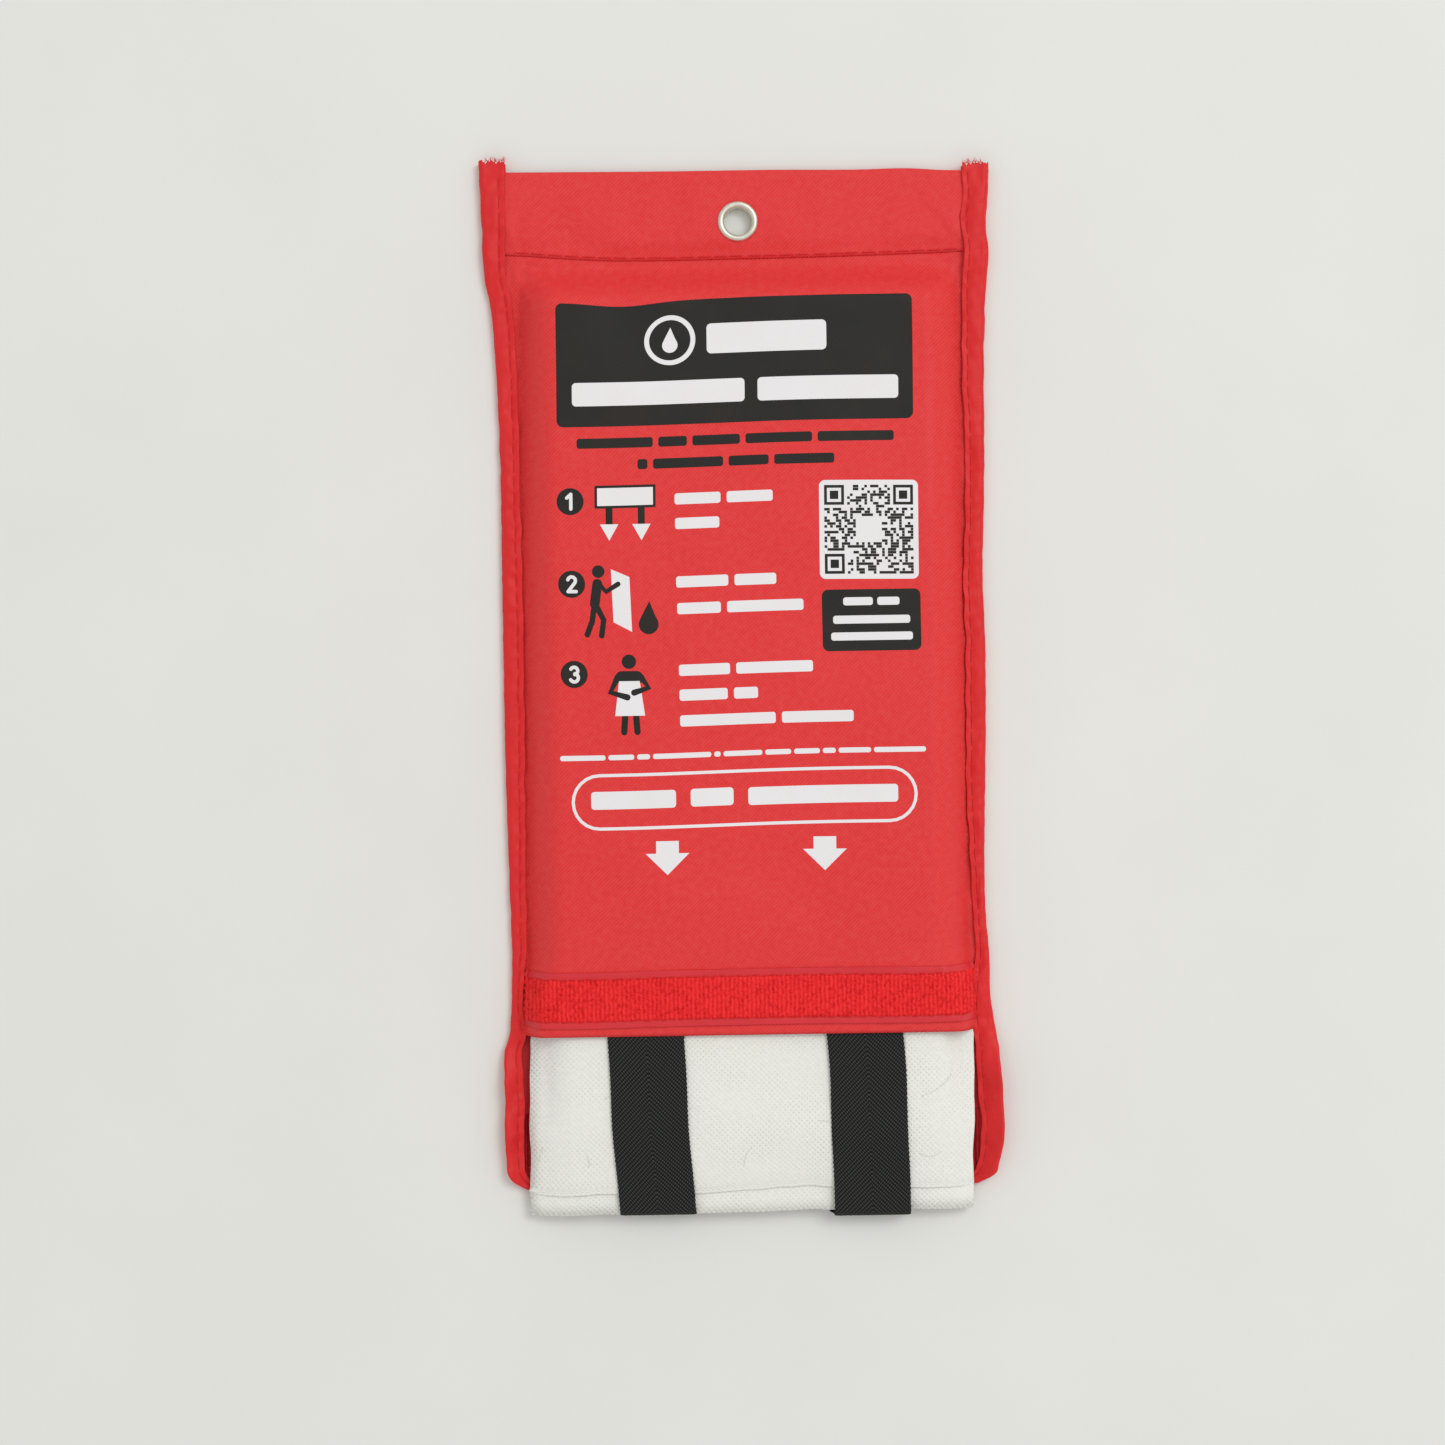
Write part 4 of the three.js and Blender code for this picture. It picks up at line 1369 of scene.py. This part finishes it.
def loose_fibres():
    """A few hairs of glass yarn lie on the blanket and stick out of its free end."""
    rng = np.random.default_rng(220)
    paths = []
    t = np.linspace(0, 1, 12)
    for _ in range(10):
        x, y = rng.uniform(-74, 74), rng.uniform(-172, -124)
        turn, bend = rng.uniform(0, 2 * math.pi), rng.uniform(-1.6, 1.6)
        long = rng.uniform(5, 17)
        heading = turn + bend * t
        px = x + np.cumsum(np.cos(heading)) * long / 12
        py = np.clip(y + np.cumsum(np.sin(heading)) * long / 12, -174, -121)
        px = np.clip(px, -76, 76)
        paths.append(np.stack([px, py, blanket_top(px, py) + 0.12 + 0.3 * np.sin(t * math.pi)], -1))
    for _ in range(240):
        x = rng.uniform(-77.5, 77)
        reach = rng.uniform(0.8, 2.9)
        y = BOTTOM + 1.8 - reach * t * 0.8
        px = x + rng.uniform(-0.8, 0.8) * t**2 * 2
        z = 5.2 - 1.5 * t + rng.uniform(-0.8, 0.8)
        paths.append(np.stack([px, np.maximum(y, BOTTOM - 0.2), z], -1))
    piece = rods("glass_hairs", paths, 0.055, glass_fibre, 4, reference=(0.05, 0.02, 1))
    squash(finish_piece(piece, "blanket", "glass_cloth"))


# ---------------------------------------------------------------- pull tabs

TAB_WIDTH = 26.6
TAB_THICKNESS = 0.95
TAB_BACK = 3.3  # the height of the leg beneath the blanket
TAB_RIB = 1.6  # the pitch of the weave's ribs
TABS = {  # centre, how far it leans at its lower end, how late the lean comes, and extra reach
    "left": (-36.4, 3.4, 1.6, 0.0),
    "right": (39.8, 2.1, 0.75, 1.2),
}


def tab_lean(side, y):
    """How far a strap has moved to the right at y, past the mouth."""
    _, total, power, _ = TABS[side]
    share = np.clip((MOUTH - y) / (MOUTH - BOTTOM), 0, 1.1)
    return total * share**power


def tab_line(side):
    """A strap's middle line: along the top, round the fold and back beneath."""
    centre, _, _, extra = TABS[side]
    bend_y = BOTTOM + 2.8 - extra
    top_y = np.linspace(MOUTH + 59, bend_y, 190)
    top_z = blanket_top(centre + tab_lean(side, top_y), top_y) + TAB_THICKNESS + 0.35
    kernel = np.ones(13) / 13
    top_z = np.convolve(np.pad(top_z, 6, mode="edge"), kernel, mode="valid")
    radius = (top_z[-1] - TAB_BACK) / 2
    turn = np.linspace(0, math.pi, 16)[1:]
    round_y = bend_y - 2.9 * np.sin(turn)
    round_z = top_z[-1] - radius * (1 - np.cos(turn))
    under_y = np.linspace(bend_y, FOLD_LINE - 5, 60)[1:]
    under_z = np.full(len(under_y), TAB_BACK) + 0.5 * ease(under_y, -178, -160)
    return np.concatenate([top_y, round_y, under_y]), np.concatenate([top_z, round_z, under_z])


def pull_tab(side):
    """Herringbone webbing along the strap's line, with a woven edge."""
    centre = TABS[side][0]
    y, z = tab_line(side)
    run = np.cumsum(np.concatenate([[0], np.hypot(np.diff(y), np.diff(z))]))
    even = np.arange(0, run[-1], 0.55)
    y = np.interp(even, run, y)[:, None]
    z = np.interp(even, run, z)[:, None]
    u = np.linspace(-TAB_WIDTH / 2, TAB_WIDTH / 2, 56)[None, :]
    v = even[:, None]
    lean = tab_lean(side, y)
    beneath = np.where(v > run[-1] - 55, 1.0, 0.0)
    peek = 2.4 if side == "left" else -2.0
    turned = float(run[-1]) - 48
    back = ease(v, turned, turned + 2.5) * peek * beneath
    edge = ease(np.abs(u), TAB_WIDTH / 2 - 0.9, TAB_WIDTH / 2)
    teeth = 0.16 * np.sin(v * 2 * math.pi / TAB_RIB) * edge * np.sign(u)
    x = centre + lean + u + back + teeth + 0.25 * ripple(v, v * 0, 40, 231)
    ribs = 0.08 * np.sin((v - np.abs(u)) * 2 * math.pi / TAB_RIB)
    cup = 0.25 * (u / (TAB_WIDTH / 2)) ** 2 * np.sin(v / 23 + 1)
    normal_y = -np.gradient(z[:, 0])[:, None]
    normal_z = np.gradient(y[:, 0])[:, None]
    size = np.hypot(normal_y, normal_z)
    lift = ribs + np.where(v < run[-1] - 70, cup, 0) - 0.25 * edge
    at_y = y - normal_y / size * lift
    at_z = z - normal_z / size * lift
    name = f"pull_tab_webbing_{side}"
    piece = grid_object(name, x, at_y, at_z, black_webbing, TAB_THICKNESS, (u, v), flip=True)
    finish_piece(piece, "blanket", "webbing", f"pull_tab_{side}")
    squash(piece)


def tab_threads(side):
    """The box of stitches, hidden in the pouch at rest, that holds a strap to the blanket."""
    centre = TABS[side][0]
    half, low, high = TAB_WIDTH / 2 - 3, MOUTH + 36, MOUTH + 56
    square = np.array([(-half, low), (half, low), (half, high), (-half, high), (-half, low)])
    lengths = np.cumsum(np.concatenate([[0], np.hypot(*np.diff(square, axis=0).T)]))

    def place(s):
        x = centre + np.interp(s, lengths, square[:, 0])
        y = np.interp(s, lengths, square[:, 1])
        top = blanket_top(np.full(y.shape, centre), y)
        return np.stack([x, y, top + TAB_THICKNESS + 0.5], -1)

    piece = stitches(f"pull_tab_seam_{side}", place, 0, lengths[-1], 2.6, black_thread, 240)
    finish_piece(piece, "blanket", "black_thread", f"pull_tab_stitching_{side}")
    squash(piece)


# ---------------------------------------------------------------- stage, light and camera

FLOOR_REACH = 4000
AMBIENT = 0.7
KEY_LIGHT = {"place": (1.5, 1.3, 2.9), "size": 1.5, "power": 38}  # metres and watts
LENS = 70
CAMERA_PLACE = (-0.0081, -0.0125, 0.991)
CAMERA_TURN = -0.9  # degrees


def stage():
    reach = FLOOR_REACH
    points = [(-reach, -reach, 0), (reach, -reach, 0), (reach, reach, 0), (-reach, reach, 0)]
    floor = make_object("floor", points, [[0, 1, 2, 3]], [floor_surface("pale_floor")])


def area_light(name, place, size, power):
    """A soft square light that looks at the object."""
    data = bpy.data.lights.new(name, "AREA")
    data.size = size
    data.energy = power
    light = bpy.data.objects.new(name, data)
    light.location = place
    light.rotation_euler = (-Vector(place)).to_track_quat("-Z", "Y").to_euler()
    bpy.context.scene.collection.objects.link(light)


def lights():
    world = bpy.data.worlds.new("studio")
    bpy.context.scene.world = world
    world.use_nodes = True
    background = world.node_tree.nodes["Background"]
    background.inputs["Color"].default_value = (1.0, 1.0, 0.985, 1)
    background.inputs["Strength"].default_value = AMBIENT
    area_light("key", **KEY_LIGHT)


def camera():
    data = bpy.data.cameras.new("camera")
    data.lens = LENS
    data.sensor_width = 36
    data.clip_end = 10
    made = bpy.data.objects.new("camera", data)
    made.location = CAMERA_PLACE
    made.rotation_euler = (0, 0, math.radians(CAMERA_TURN))
    bpy.context.scene.collection.objects.link(made)
    bpy.context.scene.camera = made
    bpy.context.scene.view_settings.view_transform = "Standard"


camera()
stage()
lights()

front_panel()
header_facing()
back_and_flap()
flap_hem()
for side, name in ((-1, "left"), (1, "right")):
    binding(side, name)
    binding_threads(side, name)
    fray_threads(side, name)
header_threads()
loop_tape()
loop_pile()
loop_threads()
hook_tape()
hooks()
hook_threads()
eyelet()
folded_blanket()
loose_fibres()
for name in TABS:
    pull_tab(name)
    tab_threads(name)
